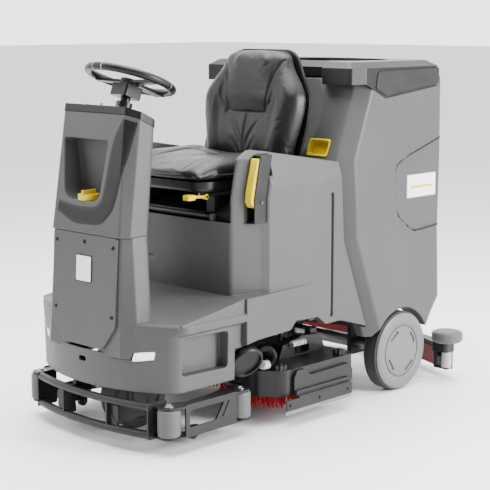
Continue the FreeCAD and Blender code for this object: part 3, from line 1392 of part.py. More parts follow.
def squeegee_beam():
    """The bowed beam that carries the lips, with its end horns, hose spigot and knob bosses."""
    low, high = squeegee_beam_low_z, squeegee_beam_high_z
    shape = squeegee_bow(0.0, squeegee_beam_half, low, high)
    hollow = squeegee_bow(0.0, squeegee_beam_half - 7.0, low - 5.0, high - 7.0)
    shape = shape.cut(hollow.cut(both_sides(block(376.0, 500.0, 500, 900, 0, 400))))
    horn = block(392.0, deflector_x + 20.0, deflector_y - 34.0, deflector_y + 34.0, high - 8.0,
                 deflector_low_z - 2.0, 16.0)
    pin = rod(V(deflector_x, deflector_y, support_low_z - 3.0), V(deflector_x, deflector_y,
              deflector_low_z + deflector_thickness - 8.0), 7.0)
    roller_room = rod(V(deflector_x, deflector_y, support_low_z - 1.5), V(deflector_x, deflector_y,
                      high - 8.5), support_roller_radius + 1.5)
    horn_lower = block(392.0, deflector_x + 12.0, deflector_y - 12.0, deflector_y + 12.0,
                       support_low_z - 8.0, support_low_z - 1.5, 8.0)
    web = block(392.0, 410.0, deflector_y - 12.0, deflector_y + 22.0, support_low_z - 8.0, high, 2.0)
    end = fuse(horn, horn_lower, web)
    shape = fuse(shape, end, mirrored(end)).cut(both_sides(roller_room))
    shape = fuse(shape, pin, mirrored(pin))
    spigot = rod(V(0, squeegee_bow_y, high - 2.0), V(0, squeegee_bow_y, high + 58.0), spigot_radius)
    bore = rod(V(0, squeegee_bow_y, low + 10.0), V(0, squeegee_bow_y, high + 80.0), spigot_radius - 4.0)
    collar = rod(V(0, squeegee_bow_y, high - 2.0), V(0, squeegee_bow_y, high + 12.0), spigot_radius + 4.0)
    return fuse(shape, collar, spigot).cut(bore)


def squeegee_lips():
    """The two rubber lips, one each side of the beam."""
    half = squeegee_beam_half + lip_thickness / 2.0 + 0.05
    rear = squeegee_bow(-half, lip_thickness / 2.0, lip_low_z, squeegee_beam_low_z + 22.0)
    front = squeegee_bow(half, lip_thickness / 2.0, lip_low_z + 4.0, squeegee_beam_low_z + 22.0)
    trim = both_sides(block(388.0, 600.0, 500.0, deflector_y + 40.0, 0, 300))
    return Part.Compound([rear, front.cut(trim)])


def squeegee_arm():
    """The lifting arm, from its pivot under the tank to the beam."""
    y, z = squeegee_pivot_y, squeegee_pivot_z
    plates = []
    for side in (-1, 1):
        x = side * 74.0
        plate = prism([(y - 18.0, z - 18.0), (y + 18.0, z - 18.0), (squeegee_bow_y - 40.0,
                      squeegee_beam_high_z + 0.02),
                       (squeegee_bow_y + 4.0, squeegee_beam_high_z + 0.02), (squeegee_bow_y + 4.0,
                               squeegee_beam_high_z + 16.0),
                       (squeegee_bow_y - 60.0, squeegee_beam_high_z + 40.0), (y + 18.0,
                               z + 18.0), (y - 18.0, z + 18.0)],
                      "x", x - 5.0, x + 5.0, [17.9, 4, 2, 0, 6, 14, 4, 17.9])
        plates.append(plate)
    foot = block(-79.0, 79.0, squeegee_bow_y - 54.0, squeegee_bow_y - 34.0, squeegee_beam_high_z + 0.02,
                 squeegee_beam_high_z + 8.0)
    tie = rod(V(-79.0, y + 60.0, z - 16.0), V(79.0, y + 60.0, z - 16.0), 8.0)
    arm = fuse(plates[0], foot, tie, plates[1])
    return arm.cut(rod(V(-200, y, z), V(200, y, z), 9.0 + running_gap))


def squeegee_bracket():
    """The fixed bracket and pin behind the axle, which the squeegee arm turns on."""
    y, z = squeegee_pivot_y, squeegee_pivot_z
    pin = rod(V(-100.0, y, z), V(100.0, y, z), 9.0)
    shape = pin
    for side in (-1, 1):
        x = side * 90.0
        shape = shape.fuse(block(x - 6.0, x + 6.0, y - 18.0, y + 18.0, z - 18.0,
                           rail_low_z + rail_height - 2.0, 12.0, "x"))
    reach = rail_inner_x + 5.0
    cross = block(-reach, reach, y - 14.0, y + 14.0, rail_low_z + 6.0,
                  rail_low_z + rail_height - 2.0, 3.0, "x")
    return shape.fuse(cross).removeSplitter()


def deflector(side):
    """The disc at each end of the squeegee that rolls along a wall."""
    low, high = deflector_low_z, deflector_low_z + deflector_thickness
    bore = 7.0 + running_gap
    profile = [(low, bore), (low, deflector_radius - 8.0), (low + 8.0, deflector_radius),
               (high - 10.0, deflector_radius),
               (high - 4.0, deflector_radius - 4.0), (high - 1.0, deflector_radius - 12.0), (high,
                       deflector_radius - 24.0),
               (high, 0.0), (high - 7.9, 0.0), (high - 7.9, bore)]
    return turned(profile, V(side * deflector_x, deflector_y, 0), Z)


def support_roller(side):
    """The pale roller under each disc."""
    bore = 7.0 + running_gap
    low, high = support_low_z, squeegee_beam_high_z - 10.0
    profile = [(low, bore), (low, support_roller_radius), (high, support_roller_radius), (high, bore)]
    return turned(profile, V(side * deflector_x, deflector_y, 0), Z)


# ------------------------------------------------------------------ fittings
def water_filter():
    """The fresh-water filter: a ribbed cup that looks out and down beside the deck."""
    radius = filter_radius
    profile = [(-34.0, 0.0), (-34.0, radius * 0.55), (-22.0, radius - 6.0), (-4.0, radius), (10.0,
               radius),
               (14.0, radius - 3.0), (14.0, radius - 10.0), (4.0, radius - 12.0), (2.0, 0.0)]
    cup = turned(profile, ORIGIN, X)
    stub = rod(V(-20.0, 0.0, -4.0), V(-20.0, radius + 14.0, -4.0), 9.0)
    shape = fuse(cup, stub)
    shape.rotate(ORIGIN, Y, 28.0)
    shape.rotate(ORIGIN, Z, -14.0)
    shape.translate(V(filter_x, filter_y, filter_z))
    arm = block(filter_x - 40.0, filter_x - 24.0, filter_y - 4.0, filter_y + 24.0, filter_z + 4.0,
                seat_box_low_z - 18.0, 5.0)
    return fuse(shape, arm)


def batteries():
    """Four traction batteries in the well under the seat."""
    cells = []
    width, length, height = 250.0, 165.0, 250.0
    for column in (-1, 1):
        for row in (0, 1):
            x = column * (width / 2.0 + 4.0)
            y = -375.0 + row * (length + 8.0)
            cells.append(block(x - width / 2.0, x + width / 2.0, y, y + length, battery_floor_z + 0.6,
                               battery_floor_z + height, 8.0))
    return Part.Compound(cells)


def pedal_base():
    """The floor bracket and pin of the drive pedal, on the footwell floor."""
    y = pedal_y
    z = floor_height(y)
    plate = block(-pedal_x - 50.0, -pedal_x + 50.0, y - 20.0, y + 20.0, z - 5.0, z + 7.0, 6.0)
    pin = rod(V(-pedal_x - 50.0, y, z + 18.0), V(-pedal_x + 50.0, y, z + 18.0), 5.0)
    shape = fuse(plate, pin)
    for side in (-1, 1):
        x = -pedal_x + side * 46.0
        shape = shape.fuse(block(x - 4.0, x + 4.0, y - 10.0, y + 10.0, z + 5.0, z + 26.0, 7.0, "x"))
    return shape.removeSplitter()


def drive_pedal():
    """The pedal that makes the machine drive, sprung up."""
    y = pedal_y
    z = floor_height(y)
    plate = block(-pedal_x - 40.0, -pedal_x + 40.0, y - 100.0, y + 4.0, z + 12.0, z + 18.0, 6.0)
    plate.rotate(V(0, y, z + 18.0), X, -18.0)
    eye = rod(V(-pedal_x - 41.0, y, z + 18.0), V(-pedal_x + 41.0, y, z + 18.0), 10.0)
    bore = rod(V(-pedal_x - 60.0, y, z + 18.0), V(-pedal_x + 60.0, y, z + 18.0), 5.0 + running_gap)
    return fuse(plate, eye).cut(bore)


def floor_height(y):
    """Height of the sloping footwell floor."""
    start = -735.0
    return shoulder_z - 1.0 + (floor_rise_z - shoulder_z + 1.0) * (y - start) / (seat_box_front_y - start)


# ------------------------------------------------------------------ all pieces

nodes = {
    "chassis_frame": chassis_frame(),
    "front_body": front_body(),
    "front_cover": cover_plate(0.0),
    "headlamps": headlamps(),
    "tower_shell": tower_shell(),
    "dash_panel": dash_panel(),
    "selector_knob": selector_knob(),
    "control_key": control_key(),
    "filler_cap": filler_cap(),
    "steering_column": steering_column(),
    "steering_wheel": steering_wheel(),
    "seat_box": seat_box(),
    "lever_bezel": lever_bezel(),
    "squeegee_lever": squeegee_lever(),
    "batteries": batteries(),
    "seat_hood": seat_hood(),
    "seat_rails": seat_rails(),
    "seat_frame": seat_frame(),
    "seat_cushion": seat_cushion(),
    "seat_back": seat_back(),
    "slide_lever": slide_lever(),
    "waste_tank": waste_tank(),
    "tank_grip": tank_grip(),
    "tank_hinge": tank_hinge(),
    "tank_cover": tank_cover(),
    "cover_panels": cover_panels(),
    "rear_axle": rear_axle(),
    "rear_rim_left": rear_rim(1),
    "rear_rim_right": rear_rim(-1),
    "rear_tyre_left": rear_tyre(1),
    "rear_tyre_right": rear_tyre(-1),
    "drive_wheel": drive_wheel(),
    "steering_fork": steering_fork(),
    "bumper_frame": bumper_frame(),
    "bumper_sides": bumper_sides(),
    "roller_bolts": roller_bolts(),
    "guide_wheel_left": guide_wheel(1),
    "guide_wheel_right": guide_wheel(-1),
    "deck_housing": deck_housing(),
    "deck_grips": deck_grips(),
    "side_squeegee_bars": side_squeegee_bars(),
    "side_squeegee_lips": side_squeegee_lips(),
    "deck_knobs": deck_knobs(),
    "brush_disc_left": brush_disc(BRUSH_PLACES[0]),
    "brush_disc_right": brush_disc(BRUSH_PLACES[1]),
    "brush_bristles_left": brush_bristles(BRUSH_PLACES[0]),
    "brush_bristles_right": brush_bristles(BRUSH_PLACES[1]),
    "squeegee_arm": squeegee_arm(),
    "squeegee_beam": squeegee_beam(),
    "squeegee_lips": squeegee_lips(),
    "deflector_left": deflector(1),
    "deflector_right": deflector(-1),
    "support_roller_left": support_roller(1),
    "support_roller_right": support_roller(-1),
    "water_filter": water_filter(),
    "drive_pedal": drive_pedal(),
}
for name, (x, y) in ROLLER_PLACES.items():
    nodes["bumper_roller_" + name] = bumper_roller(x, y)

# ---- save
os.makedirs("parts", exist_ok=True)
for name, shape in nodes.items():
    shape.exportStep("parts/" + name + ".step")
print(len(nodes), "pieces")
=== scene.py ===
import json
import math
import random

import bmesh
import bpy
import numpy as np
from mathutils import Matrix, Vector
from mathutils.bvhtree import BVHTree


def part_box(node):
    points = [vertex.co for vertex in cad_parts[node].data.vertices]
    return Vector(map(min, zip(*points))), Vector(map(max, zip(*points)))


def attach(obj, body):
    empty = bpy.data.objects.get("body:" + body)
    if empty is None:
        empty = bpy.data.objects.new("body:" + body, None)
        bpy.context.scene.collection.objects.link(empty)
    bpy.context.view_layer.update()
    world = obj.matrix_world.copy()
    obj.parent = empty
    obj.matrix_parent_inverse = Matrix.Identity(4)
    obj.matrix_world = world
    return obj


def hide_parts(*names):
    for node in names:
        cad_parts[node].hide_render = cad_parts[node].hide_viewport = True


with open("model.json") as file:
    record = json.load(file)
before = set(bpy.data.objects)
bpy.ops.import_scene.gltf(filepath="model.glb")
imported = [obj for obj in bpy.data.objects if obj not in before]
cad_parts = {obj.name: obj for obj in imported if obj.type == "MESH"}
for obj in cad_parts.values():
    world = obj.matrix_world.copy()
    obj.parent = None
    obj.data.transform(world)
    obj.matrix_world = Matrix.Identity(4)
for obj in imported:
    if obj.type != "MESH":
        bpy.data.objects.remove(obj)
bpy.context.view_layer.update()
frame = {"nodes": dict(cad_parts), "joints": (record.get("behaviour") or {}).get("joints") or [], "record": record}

# Looks of the ride-on floor scrubber, in metres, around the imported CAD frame.
# +X is the machine's left, -Y its front, +Z up.

X_AXIS = Vector((1.0, 0.0, 0.0))
Y_AXIS = Vector((0.0, 1.0, 0.0))
Z_AXIS = Vector((0.0, 0.0, 1.0))
NODE_BODY = {n: b for b, names in frame["record"]["behaviour"]["bodies"].items() for n in names}
NODE_SLOT = {part["node"]: part["material_slot"] for part in frame["record"]["subparts"]}


# ------------------------------------------------------------------ where things are
def smoothstep(low, high, value):
    """0 below low, 1 above high and a smooth rise between."""
    t = min(max((value - low) / (high - low), 0.0), 1.0)
    return t * t * (3.0 - 2.0 * t)


def hit(node, origin, direction):
    """Where a line from origin meets a CAD node: the point and its outward normal."""
    tree = BVHTree.FromObject(frame["nodes"][node], bpy.context.evaluated_depsgraph_get())
    point, normal, _, _ = tree.ray_cast(Vector(origin), Vector(direction))
    if point is None:
        raise RuntimeError("no surface of " + node + " found there")
    if normal.dot(Vector(direction)) > 0.0:
        normal = -normal
    return point, normal


def upright(point, normal, up=Z_AXIS):
    """A matrix at point whose Z is the normal and whose Y is as near up as it can be."""
    side = up.cross(normal).normalized()
    top = normal.cross(side).normalized()
    matrix = Matrix((side, top, normal)).transposed().to_4x4()
    matrix.translation = point
    return matrix


# ------------------------------------------------------------------ materials
class Nodes:
    """A material's node tree, with short ways to add to it."""

    def __init__(self, name):
        self.material = bpy.data.materials.new(name)
        self.material.use_nodes = True
        self.tree = self.material.node_tree
        self.shader = self.tree.nodes["Principled BSDF"]
        self.where = self.add("ShaderNodeTexCoord").outputs["Object"]

    def add(self, kind, **values):
        """A node with its settings and, by socket name, its input values."""
        node = self.tree.nodes.new(kind)
        for key, value in values.items():
            if hasattr(node, key):
                setattr(node, key, value)
            else:
                node.inputs[key.replace("_", " ")].default_value = value
        return node

    def link(self, output, target):
        self.tree.links.new(output, target)

    def noise(self, scale, detail=2.0, where=None, distortion=0.0):
        node = self.add("ShaderNodeTexNoise", Scale=scale, Detail=detail, Distortion=distortion)
        self.link(where or self.where, node.inputs["Vector"])
        return node.outputs["Fac"]

    def stretched(self, factors):
        node = self.add("ShaderNodeMapping")
        node.inputs["Scale"].default_value = factors
        self.link(self.where, node.inputs["Vector"])
        return node.outputs["Vector"]

    def spread(self, value, low, high, to_low, to_high):
        node = self.add("ShaderNodeMapRange")
        for index, number in enumerate((low, high, to_low, to_high), start=1):
            node.inputs[index].default_value = number
        self.link(value, node.inputs[0])
        return node.outputs[0]

    def maths(self, operation, a, b):
        node = self.add("ShaderNodeMath", operation=operation)
        for index, value in enumerate((a, b)):
            if isinstance(value, (int, float)):
                node.inputs[index].default_value = value
            else:
                self.link(value, node.inputs[index])
        return node.outputs[0]

    def mixed(self, factor, a, b):
        node = self.add("ShaderNodeMix", data_type="RGBA")
        self.link(factor, node.inputs[0])
        for index, value in ((6, a), (7, b)):
            if isinstance(value, tuple):
                node.inputs[index].default_value = value + (1.0,)
            else:
                self.link(value, node.inputs[index])
        return node.outputs[2]

    def rounded(self, radius):
        node = self.add("ShaderNodeBevel", samples=6, Radius=radius)
        return node.outputs["Normal"]

    def wear_and_highlight_edges(self, soft_normal):
        """1 along sharp edges and 0 on the flats."""
        flat = self.add("ShaderNodeNewGeometry").outputs["Normal"]
        dot = self.add("ShaderNodeVectorMath", operation="DOT_PRODUCT")
        self.link(soft_normal, dot.inputs[0])
        self.link(flat, dot.inputs[1])
        return self.spread(dot.outputs["Value"], 0.80, 0.985, 1.0, 0.0)

    def bump(self, height, strength, distance, normal=None):
        node = self.add("ShaderNodeBump", Strength=strength, Distance=distance)
        self.link(height, node.inputs["Height"])
        if normal is not None:
            self.link(normal, node.inputs["Normal"])
        return node.outputs["Normal"]


def shade(colour, factor):
    """A colour made lighter or darker."""
    return tuple(min(1.0, channel * factor) for channel in colour)


def moulding(name, colour, roughness, grain=0.0011, bump=0.25, mottle=0.07, edge=0.004, edge_wear_and_highlight=0.25,
             coat=0.0):
    """Moulded or painted surface: fine grain, uneven tone and roughness, and lighter edges that are partly wear
    and partly a painted highlight.
    """
    n = Nodes(name)
    soft = n.rounded(edge)
    cloud = n.spread(n.noise(3.1, 3.0), 0.38, 0.62, 0.0, 1.0)
    smudge = n.noise(17.0, 5.0, distortion=0.4)
    tone = n.mixed(cloud, shade(colour, 1.0 - mottle), shade(colour, 1.0 + mottle))
    streak = n.noise(1.0, 4.0, n.stretched((30.0, 30.0, 3.0)))
    tone = n.mixed(n.spread(streak, 0.55, 0.8, 0.0, 0.35), tone, shade(colour, 1.0 - 2.0 * mottle))
    # Edges are lightened here: partly wear, partly a painted highlight standing in for the light that edges catch.
    wear_and_highlight_mask = n.maths("MULTIPLY", n.wear_and_highlight_edges(soft), n.spread(smudge, 0.35, 0.65, 0.3 * edge_wear_and_highlight, edge_wear_and_highlight))
    n.link(n.mixed(wear_and_highlight_mask, tone, shade(colour, 1.9)), n.shader.inputs["Base Color"])
    n.link(n.spread(smudge, 0.25, 0.75, roughness - 0.07, roughness + 0.07), n.shader.inputs["Roughness"])
    pits = n.noise(1.0 / grain, 1.5)
    n.link(n.bump(pits, bump, grain * 0.4, soft), n.shader.inputs["Normal"])
    n.shader.inputs["Specular IOR Level"].default_value = 0.28
    n.shader.inputs["Coat Weight"].default_value = coat
    n.shader.inputs["Coat Roughness"].default_value = 0.15
    return n.material


def bare_metal(name, colour, roughness, grain_direction=(40.0, 900.0, 900.0), edge=0.0015):
    """Brushed or zinc-plated metal with fine drawn lines."""
    n = Nodes(name)
    soft = n.rounded(edge)
    lines = n.noise(1.0, 3.0, n.stretched(grain_direction))
    patches = n.noise(22.0, 4.0)
    tone = n.mixed(n.spread(patches, 0.35, 0.65, 0.0, 1.0), shade(colour, 0.86), shade(colour, 1.08))
    n.link(tone, n.shader.inputs["Base Color"])
    mix = n.maths("ADD", n.maths("MULTIPLY", lines, 0.18), n.maths("MULTIPLY", patches, 0.12))
    n.link(n.maths("ADD", mix, roughness - 0.14), n.shader.inputs["Roughness"])
    n.link(n.bump(lines, 0.12, 0.0004, soft), n.shader.inputs["Normal"])
    n.shader.inputs["Metallic"].default_value = 1.0
    return n.material


def leather(name, colour):
    """Synthetic leather: pebbled grain, fine creases and a soft uneven sheen."""
    n = Nodes(name)
    cells = n.add("ShaderNodeTexVoronoi", feature="F1", Scale=620.0)
    n.link(n.where, cells.inputs["Vector"])
    creases = n.noise(75.0, 6.0, distortion=0.8)
    cloud = n.noise(9.0, 4.0)
    tone = n.mixed(n.spread(cloud, 0.3, 0.7, 0.0, 1.0), shade(colour, 0.8), shade(colour, 1.25))
    tone = n.mixed(n.spread(creases, 0.55, 0.75, 0.0, 0.4), tone, shade(colour, 1.7))
    n.link(tone, n.shader.inputs["Base Color"])
    n.link(n.spread(creases, 0.3, 0.7, 0.30, 0.46), n.shader.inputs["Roughness"])
    height = n.maths("ADD", cells.outputs["Distance"], n.maths("MULTIPLY", creases, 0.8))
    n.link(n.bump(height, 0.35, 0.0007), n.shader.inputs["Normal"])
    n.shader.inputs["Specular IOR Level"].default_value = 0.32
    return n.material


def rubber(name, colour, roughness=0.72, dust=0.35):
    """Tyre rubber, dull and a little dusty."""
    n = Nodes(name)
    soft = n.rounded(0.0012)
    fine = n.noise(420.0, 3.0)
    patches = n.noise(26.0, 5.0)
    mask = n.spread(patches, 0.42, 0.72, 0.0, dust)
    n.link(n.mixed(mask, colour, shade(colour, 2.2)), n.shader.inputs["Base Color"])
    n.link(n.spread(patches, 0.3, 0.7, roughness - 0.08, roughness + 0.1), n.shader.inputs["Roughness"])
    n.link(n.bump(fine, 0.3, 0.0006, soft), n.shader.inputs["Normal"])
    return n.material


def lamp_glass(name):
    """A bright daylight lamp behind a clear ribbed cover."""
    n = Nodes(name)
    ribs = n.add("ShaderNodeTexWave", wave_type="BANDS", bands_direction="X", Scale=38.0)
    n.link(n.where, ribs.inputs["Vector"])
    glow = n.spread(ribs.outputs["Fac"], 0.0, 1.0, 0.55, 1.6)
    n.shader.inputs["Base Color"].default_value = (0.9, 0.91, 0.92, 1.0)
    n.shader.inputs["Roughness"].default_value = 0.08
    n.shader.inputs["Emission Color"].default_value = (1.0, 1.0, 1.0, 1.0)
    n.link(glow, n.shader.inputs["Emission Strength"])
    n.link(n.bump(ribs.outputs["Fac"], 0.5, 0.002), n.shader.inputs["Normal"])
    return n.material


CASING = (0.060, 0.0604, 0.0608)
YELLOW = (0.62, 0.46, 0.0)
DARK_FINISH = {"bump": 0.12, "edge": 0.0015, "mottle": 0.05, "edge_wear_and_highlight": 0.03}
MATERIALS = {
    # The casing gets the strongest lightened edges, partly wear and partly painted highlight.
    "casing_grey": moulding("casing_grey", CASING, 0.44, grain=0.0016, edge=0.008, mottle=0.035, edge_wear_and_highlight=0.42),
    "panel_grey": moulding("panel_grey", (0.060, 0.0605, 0.0615), 0.42,
                           grain=0.0014, edge=0.004, mottle=0.03),
    "dark_plastic": moulding("dark_plastic", (0.0075, 0.0076, 0.0079), 0.36, **DARK_FINISH),
    "black_plastic": moulding("black_plastic", (0.0062, 0.0062, 0.0065), 0.36,
                              bump=0.15, edge=0.0015, mottle=0.06, edge_wear_and_highlight=0.04),
    "yellow_plastic": moulding("yellow_plastic", YELLOW, 0.3, edge=0.003, mottle=0.03, edge_wear_and_highlight=0.1, coat=0.3),
    "lamp": lamp_glass("lamp"),
    "steel_dark": moulding("steel_dark", (0.010, 0.010, 0.0105), 0.4,
                           grain=0.002, bump=0.3, edge=0.0015, edge_wear_and_highlight=0.12),
    "steel_bright": bare_metal("steel_bright", (0.42, 0.42, 0.43), 0.30),
    "seat_leather": leather("seat_leather", (0.0052, 0.0052, 0.0055)),
    "tyre": rubber("tyre", (0.021, 0.021, 0.0215)),
    "rim_grey": moulding("rim_grey", (0.125, 0.125, 0.126), 0.45, edge=0.002, mottle=0.04),
    "roller_grey": moulding("roller_grey", (0.082, 0.082, 0.083), 0.45, edge=0.003, mottle=0.05),
    "light_plastic": moulding("light_plastic", (0.36, 0.36, 0.355), 0.4, edge=0.002, mottle=0.05),
    "bristle_red": moulding("bristle_red", (0.30, 0.0025, 0.006), 0.38,
                            grain=0.004, mottle=0.3, edge=0.001),
    "lip_red": rubber("lip_red", (0.17, 0.003, 0.008), 0.5, 0.04),
    "lip_grey": rubber("lip_grey", (0.13, 0.13, 0.128), 0.55, 0.2),
    "battery": moulding("battery", (0.03, 0.03, 0.034), 0.42, edge=0.002, mottle=0.1),
    "print_white": moulding("print_white", (0.80, 0.80, 0.79), 0.35,
                            bump=0.05, edge=0.0005, mottle=0.02, edge_wear_and_highlight=0.05),
    "print_yellow": moulding("print_yellow", YELLOW, 0.35, bump=0.05, edge=0.0005, mottle=0.02),
    "cover_side": moulding("cover_side", (0.012, 0.0121, 0.0124), 0.42, **DARK_FINISH),
    "thread": moulding("thread", (0.05, 0.05, 0.052), 0.6, grain=0.0008, edge=0.0004, mottle=0.2),
}
# These three look different from the rest of their slot
NODE_SLOT.update({"cover_panels": "cover_side", "side_squeegee_bars": "steel_dark",
                  "steering_wheel": "black_plastic"})
for node_name, node_object in frame["nodes"].items():
    node_object.data.materials.clear()
    node_object.data.materials.append(MATERIALS[NODE_SLOT[node_name]])


# ------------------------------------------------------------------ making pieces
def piece(name, mesh, slot, body, smooth_angle=35.0):
    """A finished piece from a mesh, with its material, riding on its CAD body."""
    mesh.name = name
    obj = bpy.data.objects.new(name, mesh)
    bpy.context.scene.collection.objects.link(obj)
    mesh.materials.clear()
    mesh.materials.append(MATERIALS[slot])
    for polygon in mesh.polygons:
        polygon.use_smooth = True
    mesh.set_sharp_from_angle(angle=math.radians(smooth_angle))
    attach(obj, body)
    return obj


def mesh_from(vertices, faces):
    mesh = bpy.data.meshes.new("mesh")
    mesh.from_pydata([tuple(v) for v in vertices], [], faces)
    mesh.validate()
    return mesh


def lathe(profile, sides, matrix):
    """A turned mesh: profile points are (radius, height) from the axis outwards and back."""
    vertices, faces = [], []
    for radius, height in profile:
        for k in range(sides):
            a = 2.0 * math.pi * k / sides
            vertices.append(matrix @ Vector((radius * math.cos(a), radius * math.sin(a), height)))
    for ring in range(len(profile) - 1):
        for k in range(sides):
            a, b = ring * sides + k, ring * sides + (k + 1) % sides
            faces.append((a, b, b + sides, a + sides))
    faces.append(tuple(range(sides))[::-1])
    top = (len(profile) - 1) * sides
    faces.append(tuple(top + k for k in range(sides)))
    return mesh_from(vertices, faces)


def rounded_outline(width, height, radius, steps=5):
    """A rectangle's outline with round corners, anticlockwise."""
    points = []
    for index, (sx, sy) in enumerate(((1, 1), (-1, 1), (-1, -1), (1, -1))):
        centre = (sx * (width / 2 - radius), sy * (height / 2 - radius))
        for k in range(steps + 1):
            a = math.pi / 2 * (index + k / steps)
            points.append((centre[0] + radius * math.cos(a), centre[1] + radius * math.sin(a)))
    return points


def slab(outline, low, high, matrix, chamfer=0.0):
    """A plate with a slightly broken upper edge."""
    centre = Vector((sum(p[0] for p in outline) / len(outline), sum(p[1] for p in outline) / len(outline)))
    rings = [(low, 0.0), (high - chamfer, 0.0), (high, chamfer)]
    vertices, faces = [], []
    for z, inset in rings:
        for x, y in outline:
            away = Vector((x, y)) - centre
            away = away * (1.0 - inset / max(away.length, 1e-6))
            vertices.append(matrix @ Vector((centre.x + away.x, centre.y + away.y, z)))
    count = len(outline)
    for ring in range(len(rings) - 1):
        for k in range(count):
            a, b = ring * count + k, ring * count + (k + 1) % count
            faces.append((a, b, b + count, a + count))
    faces.append(tuple(range(count))[::-1])
    faces.append(tuple(2 * count + k for k in range(count)))
    return mesh_from(vertices, faces)


def add_tube(vertices, faces, points, radii, sides, closed=False):
    """Adds a round tube along a list of points to a growing mesh."""
    count, base, side = len(points), len(vertices), None
    for i, p in enumerate(points):
        ahead = points[(i + 1) % count] if closed or i < count - 1 else p
        behind = points[i - 1] if closed or i > 0 else p
        along = (ahead - behind).normalized()
        side = side or along.orthogonal().normalized()
        side = (side - along * side.dot(along)).normalized()
        other = along.cross(side)
        for k in range(sides):
            a = 2.0 * math.pi * k / sides
            vertices.append(p + side * (radii[i] * math.cos(a)) + other * (radii[i] * math.sin(a)))
    for i in range(count if closed else count - 1):
        j = (i + 1) % count
        for k in range(sides):
            m = (k + 1) % sides
            here, there = base + i * sides, base + j * sides
            faces.append((here + k, here + m, there + m, there + k))
    if not closed:
        faces.append(tuple(base + k for k in range(sides))[::-1])
        faces.append(tuple(base + (count - 1) * sides + k for k in range(sides)))


def tube(points, radius, sides=10, closed=False):
    """A round tube of one radius; radius may be a list with one value for each point."""
    vertices, faces = [], []
    points = [Vector(p) for p in points]
    radii = radius if isinstance(radius, list) else [radius] * len(points)
    add_tube(vertices, faces, points, radii, sides, closed)
    return mesh_from(vertices, faces)


# ------------------------------------------------------------------ upholstery
PAD_VOXEL = 0.006
PAD_CAP = 0.007
SEAM_DEPTH = 0.0035
SEAM_WIDTH = 0.0055


def closed_pad(front, rear, columns, rows):
    """A closed shell between two sheets that meet at their rims; each maps (u, v) in -1..1."""
    vertices, faces = [], []
    for sheet in (front, rear):
        for j in range(rows + 1):
            for i in range(columns + 1):
                vertices.append(sheet(2.0 * i / columns - 1.0, 2.0 * j / rows - 1.0))
    layer = (columns + 1) * (rows + 1)
    for start, flip in ((0, False), (layer, True)):
        for j in range(rows):
            for i in range(columns):
                a = start + j * (columns + 1) + i
                quad = (a, a + 1, a + columns + 2, a + columns + 1)
                faces.append(quad[::-1] if flip else quad)
    mesh = mesh_from(vertices, faces)
    work = bmesh.new()
    work.from_mesh(mesh)
    bmesh.ops.remove_doubles(work, verts=work.verts, dist=0.0004)
    bmesh.ops.recalc_face_normals(work, faces=work.faces)
    work.to_mesh(mesh)
    work.free()
    return mesh


def seam_distances(spots, lines):
    """For each flat point, how far it is from the nearest chain of straight runs."""
    best = np.full(len(spots), 1e9)
    for line in lines:
        for a, b in zip(line, line[1:]):
            start, run = np.array(a), np.array(b) - np.array(a)
            t = np.clip((spots - start) @ run / max(run @ run, 1e-12), 0.0, 1.0)
            best = np.minimum(best, np.linalg.norm(start + t[:, None] * run - spots, axis=1))
    return best


def coordinates(mesh):
    """A mesh's points as an array."""
    co = np.empty(len(mesh.vertices) * 3)
    mesh.vertices.foreach_get("co", co)
    return co.reshape(-1, 3)


def puffed(mesh, seams, plane, held):
    """The pad after a short cloth simulation: held points and seams stay, the rest fills out."""
    obj = bpy.data.objects.new("pad", mesh)
    bpy.context.scene.collection.objects.link(obj)
    remesh = obj.modifiers.new("even", "REMESH")
    remesh.mode = "VOXEL"
    remesh.voxel_size = PAD_VOXEL
    smooth = obj.modifiers.new("soft", "SMOOTH")
    smooth.iterations = 4
    even = bpy.data.meshes.new_from_object(obj.evaluated_get(bpy.context.evaluated_depsgraph_get()))
    obj.modifiers.clear()
    obj.data = even
    before = coordinates(even)
    pins = obj.vertex_groups.new(name="pins")
    near = seam_distances(before[:, plane], seams)
    pinned = [i for i, co in enumerate(before) if held(co) or near[i] < PAD_VOXEL]
    pins.add(pinned, 1.0, "REPLACE")
    cloth = obj.modifiers.new("cloth", "CLOTH")
    cloth.settings.use_pressure = True
    cloth.settings.uniform_pressure_force = 4.0
    cloth.settings.effector_weights.gravity = 0.0
    cloth.settings.vertex_group_mass = "pins"
    cloth.settings.quality = 6
    for number in range(1, 21):
        bpy.context.scene.frame_set(number)
    inflated = bpy.data.meshes.new_from_object(obj.evaluated_get(bpy.context.evaluated_depsgraph_get()))
    obj.modifiers.clear()
    move = coordinates(inflated) - before
    length = np.linalg.norm(move, axis=1, keepdims=True)
    move *= np.minimum(1.0, PAD_CAP / np.maximum(length, 1e-9))
    even.vertices.foreach_set("co", (before + move).ravel())
    bpy.context.scene.frame_set(1)
    divide = obj.modifiers.new("divide", "SUBSURF")
    divide.levels = 1
    final = bpy.data.meshes.new_from_object(obj.evaluated_get(bpy.context.evaluated_depsgraph_get()))
    bpy.data.objects.remove(obj)
    return final


def sewn(mesh, seams, plane, facing):
    """Presses each seam into the pad's outer face."""
    co = coordinates(mesh)
    normals = np.empty(len(mesh.vertices) * 3)
    mesh.vertices.foreach_get("normal", normals)
    normals = normals.reshape(-1, 3)
    near = seam_distances(co[:, plane], seams)
    outward = normals @ np.array(facing) > 0.2
    press = SEAM_DEPTH * np.exp(-((near / SEAM_WIDTH) ** 2)) * outward
    mesh.vertices.foreach_set("co", (co - normals * press[:, None]).ravel())
    return mesh


def probe(mesh):
    """A search tree of a finished mesh."""
    work = bmesh.new()
    work.from_mesh(mesh)
    tree = BVHTree.FromBMesh(work)
    work.free()
    return tree


